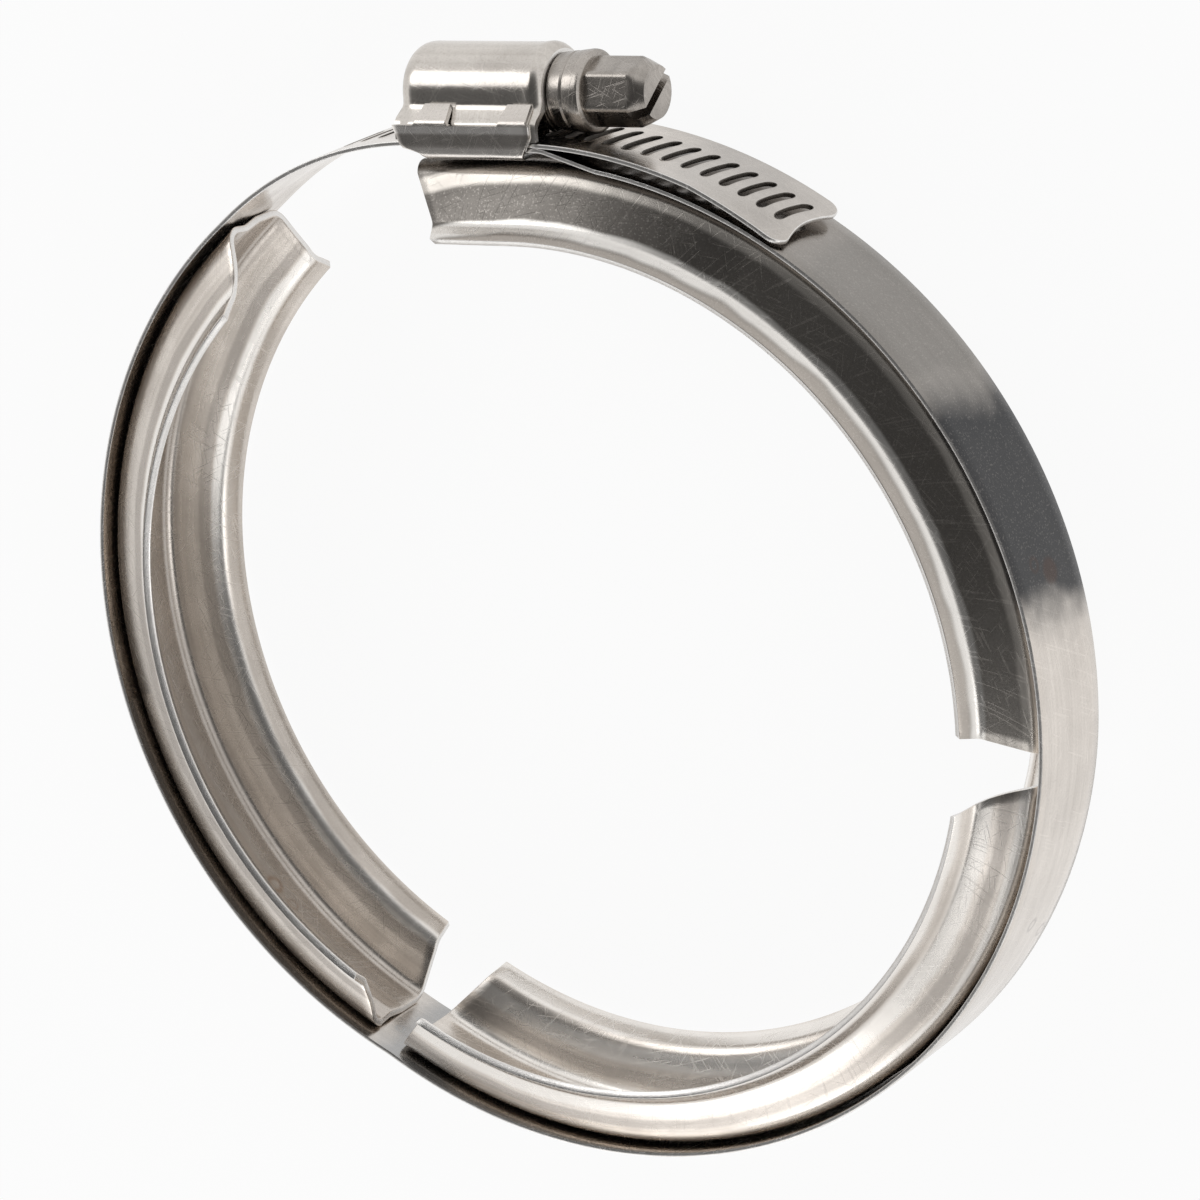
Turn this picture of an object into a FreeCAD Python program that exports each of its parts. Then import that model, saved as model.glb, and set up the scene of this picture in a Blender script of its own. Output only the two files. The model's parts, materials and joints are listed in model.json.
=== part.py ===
import FreeCAD, Part
import math
import os

Vec = FreeCAD.Vector
ORIGIN = Vec(0, 0, 0)
UP = Vec(0, 0, 1)

# Frame: origin on the ring axis at mid width, +Z along the ring axis, mm

# Strap strip
BAND_W = 15.875
BAND_T = 0.6
HALF_T = BAND_T / 2
RING_R = 67.5

# Clamped channel flange and the rolled retainers
RET_GAP = 0.1
RET_T = 1.0
RET_R = RING_R - HALF_T - RET_GAP
BASE_Z = 6.1
BASE_DIP = 0.5
WALL_DEPTH = 7.8
WALL_R = RET_R - WALL_DEPTH
WALL_Z = 9.3
LIP_DEPTH = 9.7
LIP_R = RET_R - LIP_DEPTH
LIP_TURN = 0.35
LIP_Z = 11.6
BEND_R = 1.1
LIP_BEND_R = 1.4
DIP_BEND_R = 3.0
END_SLANT = 2.76
FLAT_ANGLE = 34.0

# Ends of the arcs, degrees about each arc centre, measured at the base
A_FIRST = 1.1
C_LAST = 356.6
C_FIRST = 245.3
B_LAST = 247.3
B_FIRST = 134.6
GAP1_LEN = 4.15
GAP1_TURN = 4.5
GAP2_BEND_R = 7.55
GAP2_TURN = 5.01

# Screw housing: foot of the screw axis on the ring, and lengths along it from there
FOOT = 96.9
FLAT_RUN = 15.9
SLEEVE_R = 5.5
SLEEVE_T = 0.7
SLEEVE_MID = SLEEVE_R + SLEEVE_T / 2
SLEEVE_LEFT = -17.5
SLEEVE_RIGHT = 3.8
RIB_R = 0.15
RIB_S = 2.3
SKIRT_LEFT = -16.8
SKIRT_RIGHT = 3.4

# Strip layers under the screw
SADDLE_T = 0.8
LAY_GAP = 0.05
SADDLE_LOW = RET_R + 0.7
SADDLE_TOP = SADDLE_LOW + SADDLE_T
INNER_H = SADDLE_TOP + LAY_GAP + HALF_T
STRIP_GAP = 0.1
TAIL_H = INNER_H + BAND_T + STRIP_GAP
TAIL_TOP = TAIL_H + HALF_T
RIM_LOW = TAIL_TOP + STRIP_GAP
AXIS_RISE = 4.95
AXIS_H = TAIL_TOP + AXIS_RISE
SHOULDER_TOP = AXIS_H - 0.9
SHOULDER_LOW = AXIS_H - 2.6
CHANNEL_Z = BAND_W / 2 + 0.15
FIT_GAP = 0.05
RIM_Z = CHANNEL_Z - FIT_GAP - SLEEVE_T / 2
FOLD_OFFSET = SLEEVE_T / 2 + SADDLE_T / 2 + FIT_GAP
TAB_TIP_Z = 6.65
INNER_END = -12.5
SET_DOWN_S = 3.5
SET_DOWN_ANGLE = 18.0
SET_DOWN_R = 4.0
FREE_R = 50.0
TAIL_DROP = 0.3
TAIL_R = RING_R - TAIL_DROP
TAIL_TURN = 34.1
TAIL_CORNER = 2.2

# Slots of the strip and the worm that drives them
PITCH = 2.8
SLOT_W = 1.3
SLOT_L = 7.0
SLOT_SLANT = 10.0
SLOT_FROM_END = 3.2
SLOT_COUNT = 24
THREAD_R = 5.35
THREAD_ROOT = 4.2
THREAD_CREST = 0.7
THREAD_FOOT = 1.3
THREAD_TURNS = 4
PILOT_R = 2.2
NECK_R = 4.4
COLLAR_R = 5.45
COLLAR_SMALL_R = 4.95
HEX_AF = 8.0
HEX_TURN = 12.0
PILOT_TIP = -19.3
CORE_LEFT = -15.6
COLLAR_LEFT = 4.0
COLLAR_RIGHT = 9.0
HEX_RIGHT = 15.2
TIP_RIGHT = 17.4
TIP_R = 3.4
DRIVE_SLOT_W = 1.5
DRIVE_SLOT_DEPTH = 2.4


def polar(radius, angle, centre=ORIGIN):
    """Point in the ring plane at a radius and angle about a centre."""
    rad = math.radians(angle)
    return Vec(centre.x + radius * math.cos(rad), centre.y + radius * math.sin(rad), 0)


ALONG = polar(1, FOOT - 90)
OUTWARD = polar(1, FOOT)


def local(s, height, z=0.0):
    """Point of the housing frame: along the screw, above the ring axis, across."""
    return ALONG * s + OUTWARD * height + UP * z


class Pen:
    """Tangent-continuous path made of straight and round pieces."""

    def __init__(self, start, heading):
        self.at = Vec(start)
        self.heading = heading
        self.pieces = []
        self.length = 0.0

    def normal(self, heading):
        """Unit vector to the left of a heading."""
        return polar(1, heading + 90)

    def line(self, length):
        """Go straight on."""
        end = self.at + polar(length, self.heading)
        self.pieces.append(("line", self.at, end, self.heading, self.heading, None, 0.0))
        self.at = end
        self.length += length
        return self

    def arc(self, radius, turn):
        """Follow an arc, turning left for a positive angle."""
        side = math.copysign(1.0, turn)
        centre = self.at + self.normal(self.heading) * (side * radius)
        last = self.heading + turn
        end = centre - self.normal(last) * (side * radius)
        self.pieces.append(("arc", self.at, end, self.heading, last, centre, side * radius))
        self.at = end
        self.heading = last
        self.length += radius * abs(math.radians(turn))
        return self

    def edges(self, offset, flats=False):
        """Edges of the path shifted to its left, with its arcs round or as a few flats."""
        made = []
        for kind, start, end, first, last, centre, radius in self.pieces:
            p = start + self.normal(first) * offset
            q = end + self.normal(last) * offset
            if kind == "line":
                made.append(Part.LineSegment(p, q).toShape())
                continue
            if flats:
                count = max(1, round(abs(last - first) / FLAT_ANGLE))
                turns = [first + (last - first) * i / count for i in range(count + 1)]
                corners = [centre - self.normal(h) * (radius - offset) for h in turns]
                made += [Part.LineSegment(a, b).toShape() for a, b in zip(corners, corners[1:])]
                continue
            mid = centre - self.normal((first + last) / 2) * (radius - offset)
            made.append(Part.Arc(p, mid, q).toShape())
        return made

    def place(self, distance):
        """Point and heading at a distance from the start."""
        left = distance
        for kind, start, end, first, last, centre, radius in self.pieces:
            if kind == "line":
                size = (end - start).Length
            else:
                size = abs(radius * math.radians(last - first))
            if left <= size:
                break
            left -= size
        if kind == "line":
            return start + polar(left, first), first
        heading = first + (last - first) * left / size
        return centre - self.normal(heading) * radius, heading


def ribbon(pen, half, flats=False):
    """Face of a strip with a path as its middle line."""
    left = pen.edges(half, flats)
    right = pen.edges(-half, flats)
    start = Part.LineSegment(right[0].Vertexes[0].Point, left[0].Vertexes[0].Point).toShape()
    end = Part.LineSegment(left[-1].Vertexes[-1].Point, right[-1].Vertexes[-1].Point).toShape()
    return Part.Face(Part.Wire(Part.__sortEdges__([start] + left + [end] + right)))


def rounded_path(points, radii):
    """Path along points in a plane with its inner corners rounded."""
    headings = []
    for p, q in zip(points, points[1:]):
        headings.append(math.degrees(math.atan2(q[1] - p[1], q[0] - p[0])))
    pen = Pen(Vec(points[0][0], points[0][1], 0), headings[0])
    used = 0.0
    for i, radius in enumerate(radii):
        p, q = points[i], points[i + 1]
        turn = (headings[i + 1] - headings[i] + 180) % 360 - 180
        setback = radius * math.tan(math.radians(abs(turn) / 2))
        pen.line(math.dist(p, q) - used - setback)
        pen.arc(radius, turn)
        used = setback
    pen.line(math.dist(points[-2], points[-1]) - used)
    return pen


def prism(points, low, high):
    """Upright block over a polygon of ring-plane points."""
    wire = Part.makePolygon([Vec(p.x, p.y, low) for p in points + points[:1]])
    return Part.Face(wire).extrude(UP * (high - low))


def band_paths():
    """Whole strap path with the arc centres and distances that other parts use."""
    pen = Pen(local(INNER_END, INNER_H), FOOT - 90)
    pen.line(SET_DOWN_S - INNER_END)
    pen.arc(SET_DOWN_R, -SET_DOWN_ANGLE)
    reach = RING_R + SET_DOWN_R
    base = pen.at + pen.normal(pen.heading) * SET_DOWN_R
    ahead = polar(1, pen.heading)
    along = base.dot(ahead)
    pen.line(-along - math.sqrt(along ** 2 - base.dot(base) + reach ** 2))
    turn_centre = pen.at + pen.normal(pen.heading) * SET_DOWN_R
    ring_angle = math.degrees(math.atan2(turn_centre.y, turn_centre.x))
    pen.arc(SET_DOWN_R, ring_angle - 90 - pen.heading)
    pen.arc(RING_R, A_FIRST - ring_angle)
    pen.arc(GAP1_LEN / math.radians(GAP1_TURN), -GAP1_TURN)
    centre_c = pen.at - pen.normal(pen.heading) * RING_R
    pen.arc(RING_R, C_FIRST - C_LAST)
    pen.arc(GAP2_BEND_R, GAP2_TURN)
    centre_b = pen.at - pen.normal(pen.heading) * RING_R
    pen.arc(RING_R, B_FIRST - (pen.heading + 450))
    run = (pen.heading - FOOT + 90) % 360
    rise = (TAIL_H - pen.at.dot(OUTWARD)) / math.sin(math.radians(run))
    pen.line(rise - FREE_R * math.tan(math.radians(run / 2)))
    pen.arc(FREE_R, -run)
    pen.line(-pen.at.dot(ALONG))
    pen.arc(TAIL_R, -TAIL_TURN)
    return pen, centre_c, centre_b


def slot_cutter():
    """One slot of the strip: a slanted block with pointed ends, standing on the strip."""
    half = SLOT_W / 2
    end = SLOT_L / 2
    flat = end - SLOT_W * 0.7
    outline = [
        Vec(half, 0, -flat), Vec(half, 0, flat), Vec(0, 0, end),
        Vec(-half, 0, flat), Vec(-half, 0, -flat), Vec(0, 0, -end),
    ]
    block = Part.Face(Part.makePolygon(outline + outline[:1])).extrude(Vec(0, 2 * BAND_T + 0.1, 0))
    block.translate(Vec(0, -BAND_T - 0.05, 0))
    block.rotate(ORIGIN, Vec(0, 1, 0), -SLOT_SLANT)
    return block


def make_band(pen):
    """Strap: plain end, ring, free span and slotted tail in one strip."""
    band = ribbon(pen, HALF_T).extrude(UP * BAND_W)
    band.translate(UP * (-BAND_W / 2))
    cutters = []
    for i in range(SLOT_COUNT):
        at, heading = pen.place(pen.length - SLOT_FROM_END - i * PITCH)
        cutter = slot_cutter()
        cutter.rotate(ORIGIN, UP, heading)
        cutter.translate(at)
        cutters.append(cutter)
    for side in (1, -1):
        cutters.append(corner_cutter(pen, side))
    return band.cut(cutters)


def corner_cutter(pen, side):
    """Block outside the rounded corner of the tail, on one side of the strip."""
    low = BAND_W / 2 - TAIL_CORNER
    block = Part.makeBox(TAIL_CORNER + 1, 4, TAIL_CORNER + 1, Vec(-TAIL_CORNER, -2, low))
    round_part = Part.makeCylinder(TAIL_CORNER, 6, Vec(-TAIL_CORNER, -3, low), Vec(0, 1, 0))
    block = block.cut(round_part)
    if side < 0:
        block = block.mirror(ORIGIN, UP)
    block.rotate(ORIGIN, UP, pen.heading)
    block.translate(pen.at)
    return block


def retainer_section():
    """Cross-section of a retainer: dipped base, flared walls and turned-out lips."""
    mid = RET_T / 2
    base = RET_R - mid
    dip = base - BASE_DIP
    points = [
        (LIP_R + LIP_TURN, LIP_Z - LIP_TURN),
        (WALL_R, WALL_Z - mid),
        (base, BASE_Z - mid),
        (dip, 2.2),
        (base, -0.8),
        (base, -BASE_Z + mid),
        (WALL_R, -WALL_Z + mid),
        (LIP_R + LIP_TURN, -LIP_Z + LIP_TURN),
    ]
    radii = [LIP_BEND_R, BEND_R, DIP_BEND_R, DIP_BEND_R, BEND_R, LIP_BEND_R]
    face = ribbon(rounded_path(points, radii), mid, True)
    face.rotate(ORIGIN, Vec(1, 0, 0), 90)
    return face


def sweep_section(centre, first, last):
    """Retainer section turned about an arc centre between two angles."""
    face = retainer_section()
    face.rotate(ORIGIN, UP, first)
    face.translate(centre)
    return face.revolve(centre, UP, last - first)


def end_block(point, radial, away, trim, low, high):
    """Block that leaves the slanting end of a retainer, set back by trims in its profile."""
    inner = PLAIN_TRIM if trim is None else trim
    line = []
    for depth, extra in inner:
        back = END_SLANT * depth / LIP_DEPTH + extra
        line.append(point - radial * depth - away * back)
    return prism(line + [line[-1] + away * 20, line[0] + away * 20], low, high)


def cut_end(shape, centre, angle, side, trim=None):
    """Cut one slanting end; side is +1 at the last angle and -1 at the first."""
    point = polar(RET_R, angle, centre)
    radial = polar(1, angle)
    away = polar(1, angle + 90) * side
    shape = shape.cut(end_block(point, radial, away, None, -LIP_Z - 3, LIP_Z + 3))
    if trim:
        shape = shape.cut(end_block(point, radial, away, trim, BASE_Z - 1.6, LIP_Z + 3))
    return shape


# Set-back of the ends beyond the plain slant: depth below the outer face, and extra set-back
PLAIN_TRIM = [(-3.0, 0.0), (LIP_DEPTH + 3, 0.0)]
A_LEFT_TRIM = [(-3.0, -0.1), (1.6, 0.0), (LIP_DEPTH + 3, 2.9)]
B_TOP_TRIM = [(-3.0, -0.5), (1.7, 0.0), (4.1, 0.05), (5.9, 0.3), (7.3, 1.2), (8.5, 2.3), (LIP_DEPTH + 3, 2.7)]
B_LOW_TRIM = [(-3.0, -0.5), (2.1, 0.0), (4.5, 0.0), (6.1, 0.3), (7.3, 0.7), (LIP_DEPTH + 3, 1.0)]
C_TOP_TRIM = [(-3.0, -0.5), (3.7, 0.0), (5.7, 0.3), (7.5, 1.0), (8.9, 1.8), (LIP_DEPTH + 3, 2.2)]


def make_retainer_a():
    """Retainer under the screw: an arc that runs out straight below the housing."""
    arc = sweep_section(ORIGIN, A_FIRST - 2, FOOT)
    face = retainer_section()
    face.rotate(ORIGIN, UP, FOOT)
    run = face.extrude(ALONG * (-FLAT_RUN - 1))
    shape = cut_end(arc, ORIGIN, A_FIRST, -1)
    point = local(-FLAT_RUN, RET_R)
    run = run.cut(end_block(point, OUTWARD, ALONG * -1, A_LEFT_TRIM, -LIP_Z - 3, LIP_Z + 3))
    return shape.fuse(run).removeSplitter()


def make_retainer_b(centre):
    """Left retainer, with both front lip corners trimmed round."""
    shape = sweep_section(centre, B_FIRST - 2, B_LAST + 2)
    shape = cut_end(shape, centre, B_FIRST, -1, B_TOP_TRIM)
    return cut_end(shape, centre, B_LAST, 1, B_LOW_TRIM)


def make_retainer_c(centre):
    """Lower right retainer, with its upper front lip corner trimmed round."""
    shape = sweep_section(centre, C_FIRST - 2, C_LAST + 2)
    shape = cut_end(shape, centre, C_FIRST, -1)
    return cut_end(shape, centre, C_LAST, 1, C_TOP_TRIM)


def housing_frame(shape):
    """Turn a shape from local axes (along, outward, across) into the ring frame."""
    shape.rotate(ORIGIN, UP, FOOT - 90)
    return shape


def across_section(points, radii, half, first, last):
    """Sheet with its section given across and outward, drawn along the screw."""
    face = ribbon(rounded_path(points, radii), half, True)
    face.rotate(ORIGIN, Vec(0, 1, 0), -90)
    face.translate(Vec(first, 0, 0))
    return face.extrude(Vec(last - first, 0, 0))


def fold_line():
    """Slope of the housing shoulder, as its unit direction and outward normal."""
    dz = RIM_Z - SLEEVE_MID
    dh = SHOULDER_LOW - SHOULDER_TOP
    size = math.hypot(dz, dh)
    return (dz / size, dh / size), (-dh / size, dz / size)


def make_housing():
    """Screw housing: rounded sleeve, shoulders and rims pressed from one sheet."""
    t = SLEEVE_T
    outer = [
        (SLEEVE_LEFT, PILOT_R + 0.1), (SLEEVE_LEFT, SLEEVE_R - 1.7), (SLEEVE_LEFT + 0.7, SLEEVE_R - 0.4),
        (SLEEVE_LEFT + 2.4, SLEEVE_R + t), (RIB_S - 1.6, SLEEVE_R + t), (RIB_S, SLEEVE_R + t + RIB_R),
        (SLEEVE_RIGHT, SLEEVE_R + t - 0.6), (SLEEVE_RIGHT, NECK_R + 0.1),
    ]
    inner = [
        (SLEEVE_RIGHT - t, NECK_R + 0.1), (SLEEVE_RIGHT - t, SLEEVE_R), (SLEEVE_LEFT + 2.6, SLEEVE_R),
        (SLEEVE_LEFT + t, SLEEVE_R - 2.0), (SLEEVE_LEFT + t, PILOT_R + 0.1),
    ]
    points = [Vec(s, AXIS_H + r, 0) for s, r in outer + inner]
    face = Part.Face(Part.makePolygon(points + points[:1]))
    turned = face.revolve(Vec(0, AXIS_H, 0), Vec(1, 0, 0), 360)
    above = Part.makeBox(60, 20, 30, Vec(-30, AXIS_H, -15))
    left_end = Part.makeBox(2.2, AXIS_H - RIM_LOW + 1, 30, Vec(SLEEVE_LEFT - 1, RIM_LOW + 0.2, -15))
    right_end = Part.makeBox(2, AXIS_H - RIM_LOW, 30, Vec(SLEEVE_RIGHT - 1, RIM_LOW + 0.2, -15))
    body = turned.common(above)
    body = body.fuse([turned.common(left_end), turned.common(right_end)])
    for side in (1, -1):
        points = [
            (side * SLEEVE_MID, AXIS_H + 0.2), (side * SLEEVE_MID, SHOULDER_TOP),
            (side * RIM_Z, SHOULDER_LOW), (side * RIM_Z, RIM_LOW),
        ]
        body = body.fuse(across_section(points, [0.6, 0.6], t / 2, SKIRT_LEFT, SKIRT_RIGHT))
    return housing_frame(body)


def saddle_profile():
    """Side outline of the saddle with its four tabs, along and outward."""
    low = SADDLE_LOW - 1
    wall = SHOULDER_LOW - 0.05
    top = SHOULDER_TOP + 2
    return [
        (INNER_END, low), (2.0, low), (2.0, SADDLE_LOW + 0.4), (3.4, SADDLE_TOP + 2), (3.4, wall),
        (3.1, wall + 0.1), (2.9, top), (-0.1, top), (-1.1, wall + 0.1), (-1.1, wall),
        (-8.7, wall), (-8.7, wall + 0.1), (-9.2, top), (-12.3, top), (-13.7, wall + 0.1),
        (-13.7, wall), (-16.9, wall), (-15.9, SADDLE_TOP + 0.8), (INNER_END, SADDLE_LOW + 0.6),
    ]


def make_saddle():
    """Saddle: channel below the strip layers with tabs folded over the shoulders."""
    (dz, dh), (nz, nh) = fold_line()
    wall_z = CHANNEL_Z + SADDLE_T / 2
    start_z = RIM_Z + nz * FOLD_OFFSET
    start_h = SHOULDER_LOW + nh * FOLD_OFFSET
    fold_h = start_h + (wall_z - start_z) * dh / dz
    tip_h = start_h + (TAB_TIP_Z - start_z) * dh / dz
    low = SADDLE_LOW + SADDLE_T / 2
    points = [
        (TAB_TIP_Z, tip_h), (wall_z, fold_h), (wall_z, low),
        (-wall_z, low), (-wall_z, fold_h), (-TAB_TIP_Z, tip_h),
    ]
    channel = across_section(points, [0.6, 0.6, 0.6, 0.6], SADDLE_T / 2, -17.5, 4)
    outline = [Vec(s, h, 0) for s, h in saddle_profile()]
    return housing_frame(channel.common(prism(outline, -BAND_W, BAND_W)))


def make_worm_screw(phase):
    """Worm screw: pilot, thread, neck, collar and slotted hexagon head."""
    profile = [
        (PILOT_TIP, 0), (PILOT_TIP, PILOT_R), (CORE_LEFT, PILOT_R), (CORE_LEFT, THREAD_ROOT),
        (COLLAR_LEFT - 1.2, THREAD_ROOT), (COLLAR_LEFT - 1.2, NECK_R), (COLLAR_LEFT, NECK_R),
        (COLLAR_LEFT, COLLAR_SMALL_R), (COLLAR_RIGHT - 0.5, COLLAR_R), (COLLAR_RIGHT, COLLAR_R - 0.5),
        (COLLAR_RIGHT, 0),
    ]
    points = [Vec(s, r, 0) for s, r in profile]
    core = Part.Face(Part.makePolygon(points + points[:1])).revolve(ORIGIN, Vec(1, 0, 0), 360)
    flat = HEX_AF / 2
    corner = flat / math.cos(math.radians(30))
    ring = [Vec(COLLAR_RIGHT - 0.2, corner * math.cos(math.radians(60 * i - HEX_TURN)),
                corner * math.sin(math.radians(60 * i - HEX_TURN))) for i in range(7)]
    head = Part.Face(Part.makePolygon(ring)).extrude(Vec(TIP_RIGHT - COLLAR_RIGHT + 0.2, 0, 0))
    worn = [
        (COLLAR_RIGHT - 0.2, 0), (COLLAR_RIGHT - 0.2, corner - 0.1), (HEX_RIGHT, corner - 0.1),
        (TIP_RIGHT, TIP_R), (TIP_RIGHT, 0),
    ]
    points = [Vec(s, r, 0) for s, r in worn]
    head = head.common(Part.Face(Part.makePolygon(points + points[:1])).revolve(ORIGIN, Vec(1, 0, 0), 360))
    slot = Part.makeBox(DRIVE_SLOT_DEPTH + 1, 20, DRIVE_SLOT_W,
                        Vec(TIP_RIGHT - DRIVE_SLOT_DEPTH, -10, -DRIVE_SLOT_W / 2))
    slot.rotate(ORIGIN, Vec(1, 0, 0), 90 - HEX_TURN)
    head = head.cut(slot)
    helix = Part.makeHelix(PITCH, PITCH * THREAD_TURNS, THREAD_ROOT - 0.1)
    crest = THREAD_CREST / 2
    foot = THREAD_FOOT / 2
    points = [
        Vec(THREAD_ROOT - 0.15, 0, -foot), Vec(THREAD_R, 0, -crest), Vec(THREAD_R, 0, crest),
        Vec(THREAD_ROOT - 0.15, 0, foot),
    ]
    thread_wire = Part.makePolygon(points + points[:1])
    thread = Part.Wire(helix).makePipeShell([thread_wire], True, True)
    thread.rotate(ORIGIN, Vec(0, 1, 0), 90)
    thread.rotate(ORIGIN, Vec(1, 0, 0), -90)
    thread.translate(Vec(phase, 0, 0))
    screw = core.fuse([head, thread])
    screw.translate(Vec(0, AXIS_H, 0))
    return housing_frame(screw)


def thread_start():
    """Place along the screw of the slot that the thread starts in."""
    slot_s = TAIL_R * math.radians(TAIL_TURN) - SLOT_FROM_END
    return slot_s - PITCH * math.floor((slot_s - CORE_LEFT - 3.2) / PITCH)


def main():
    os.makedirs("parts", exist_ok=True)
    pen, centre_c, centre_b = band_paths()
    nodes = {
        "band": make_band(pen),
        "retainer_a": make_retainer_a(),
        "retainer_b": make_retainer_b(centre_b),
        "retainer_c": make_retainer_c(centre_c),
        "housing": make_housing(),
        "saddle": make_saddle(),
        "worm_screw": make_worm_screw(thread_start()),
    }
    for name, shape in nodes.items():
        shape.exportStep("parts/" + name + ".step")


main()
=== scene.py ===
"""Dressed model of a split ring clamp with a worm-drive screw."""

import json
import logging
import math
from dataclasses import dataclass, field, replace
from enum import Enum
from typing import Sequence

import bmesh
import bpy
import numpy as np
from mathutils import Matrix, Vector, noise
from mathutils.geometry import delaunay_2d_cdt

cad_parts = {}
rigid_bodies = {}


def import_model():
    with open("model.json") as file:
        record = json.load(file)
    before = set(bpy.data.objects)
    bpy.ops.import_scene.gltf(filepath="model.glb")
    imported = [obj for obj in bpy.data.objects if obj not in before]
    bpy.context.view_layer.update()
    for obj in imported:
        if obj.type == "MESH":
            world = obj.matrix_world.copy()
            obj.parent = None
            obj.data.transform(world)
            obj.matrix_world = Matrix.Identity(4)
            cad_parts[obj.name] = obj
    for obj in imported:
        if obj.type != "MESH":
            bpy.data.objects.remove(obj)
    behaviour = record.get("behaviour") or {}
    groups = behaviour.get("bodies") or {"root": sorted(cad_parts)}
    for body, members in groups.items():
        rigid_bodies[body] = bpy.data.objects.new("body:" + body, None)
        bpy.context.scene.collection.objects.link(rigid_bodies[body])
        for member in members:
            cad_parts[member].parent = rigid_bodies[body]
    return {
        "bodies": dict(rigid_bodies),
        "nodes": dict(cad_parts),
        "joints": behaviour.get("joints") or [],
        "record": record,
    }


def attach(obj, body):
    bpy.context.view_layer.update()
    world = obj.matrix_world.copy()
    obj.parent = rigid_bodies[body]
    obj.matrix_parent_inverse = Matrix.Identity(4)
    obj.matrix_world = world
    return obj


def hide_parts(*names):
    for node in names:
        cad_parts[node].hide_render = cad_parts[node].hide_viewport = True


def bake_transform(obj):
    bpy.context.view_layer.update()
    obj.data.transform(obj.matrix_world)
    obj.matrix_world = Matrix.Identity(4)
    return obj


LOG = logging.getLogger("clamp")
MM = 0.001
Point = tuple[float, float]
Triple = tuple[float, float, float]
Curve = tuple[Point, ...]
Line = Sequence[tuple[np.ndarray, float]]
Metal = bpy.types.Material
Socket = bpy.types.NodeSocket

# Sizes that several pieces share, in mm and degrees
FOOT = 96.9
AXIS_H = 74.9
RIM_Z = 7.6875
SHOULDER_LOW = 72.3
PITCH = 2.8

# Texture units per mm, and the middle of a softened edge as a share of its radius
UV = 0.1
EDGE_MID = 0.3

# Cells per metre of the patterns on the steel
CLOUD = 90
PATCH = 35
GRAIN = 3600
WAVES = 240
WAVER = 60
WANDER = 70


class Body(Enum):
    """Names of the bodies that the pieces ride on."""

    MAIN = "body"
    SEGMENT_C = "segment_c"
    SEGMENT_B = "segment_b"
    STRAP = "strap"
    SCREW = "screw"


class Slot(Enum):
    """Material slots of the record."""

    STRAP = "strap_steel"
    RETAINER = "retainer_steel"
    HOUSING = "housing_steel"
    SADDLE = "saddle_steel"
    SCREW = "screw_steel"


# Plane paths and curves


def unit(angle: float) -> np.ndarray:
    """Return the unit vector at an angle in degrees."""
    rad = math.radians(angle)
    return np.array([math.cos(rad), math.sin(rad)])


def read_curve(curve: Sequence[Point], at: float) -> float:
    """Read a curve given by points with rising first values."""
    return float(np.interp(at, *zip(*curve)))


@dataclass
class Leg:
    """One straight or round piece of a path.

    Attributes:
        start: First point.
        heading: First heading in degrees.
        length: Length along the piece.
        turn: Turn to the left in degrees, 0 on a straight piece.
    """

    start: np.ndarray
    heading: float
    length: float
    turn: float = 0.0

    def at(self, distance: float) -> tuple[np.ndarray, float]:
        """Give the point and heading at a distance along the piece.

        Args:
            distance: Distance from the start of the piece.

        Returns:
            The point and the heading there in degrees.
        """
        if self.turn == 0.0:
            return self.start + unit(self.heading) * distance, self.heading
        heading = self.heading + self.turn * distance / self.length
        radius = self.length / math.radians(self.turn)
        centre = self.start + unit(self.heading + 90) * radius
        return centre - unit(heading + 90) * radius, heading


@dataclass
class Path:
    """Tangent-continuous path in the ring plane, in mm."""

    point: np.ndarray
    heading: float
    legs: list[Leg] = field(default_factory=list)
    length: float = 0.0

    def line(self, length: float) -> "Path":
        """Go straight on by a length and return the path."""
        return self._add(Leg(self.point, self.heading, length))

    def arc(self, radius: float, turn: float) -> "Path":
        """Turn left by an angle in degrees on a radius and return the path."""
        return self._add(Leg(self.point, self.heading, radius * abs(math.radians(turn)), turn))

    def _add(self, leg: Leg) -> "Path":
        """Append a leg and move the pen to its end.

        Args:
            leg: The leg, which starts at the pen.

        Returns:
            The path.
        """
        self.legs.append(leg)
        self.point, self.heading = leg.at(leg.length)
        self.length += leg.length
        return self

    def at(self, distance: float) -> tuple[np.ndarray, float]:
        """Give the point and heading at a distance from the start.

        Args:
            distance: Distance along the path.

        Returns:
            The point and the heading there in degrees.
        """
        left = distance
        for leg in self.legs[:-1]:
            if left <= leg.length:
                return leg.at(left)
            left -= leg.length
        return self.legs[-1].at(left)

    def stations(self, first: float, last: float, angle: float = 1.5, step: float = 2.5) -> list[float]:
        """List distances close enough together to look round.

        Args:
            first: First distance.
            last: Last distance.
            angle: Largest turn between stations in degrees.
            step: Largest distance between stations.

        Returns:
            Rising distances from first to last.
        """
        found = [first]
        start = 0.0
        for leg in self.legs:
            low, high = max(first, start), min(last, start + leg.length)
            if high > low + 1e-6:
                turn = abs(leg.turn) * (high - low) / leg.length
                count = max(1, math.ceil(turn / angle), math.ceil((high - low) / step))
                found += [low + (high - low) * (i + 1) / count for i in range(count)]
            start += leg.length
        return found


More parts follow.
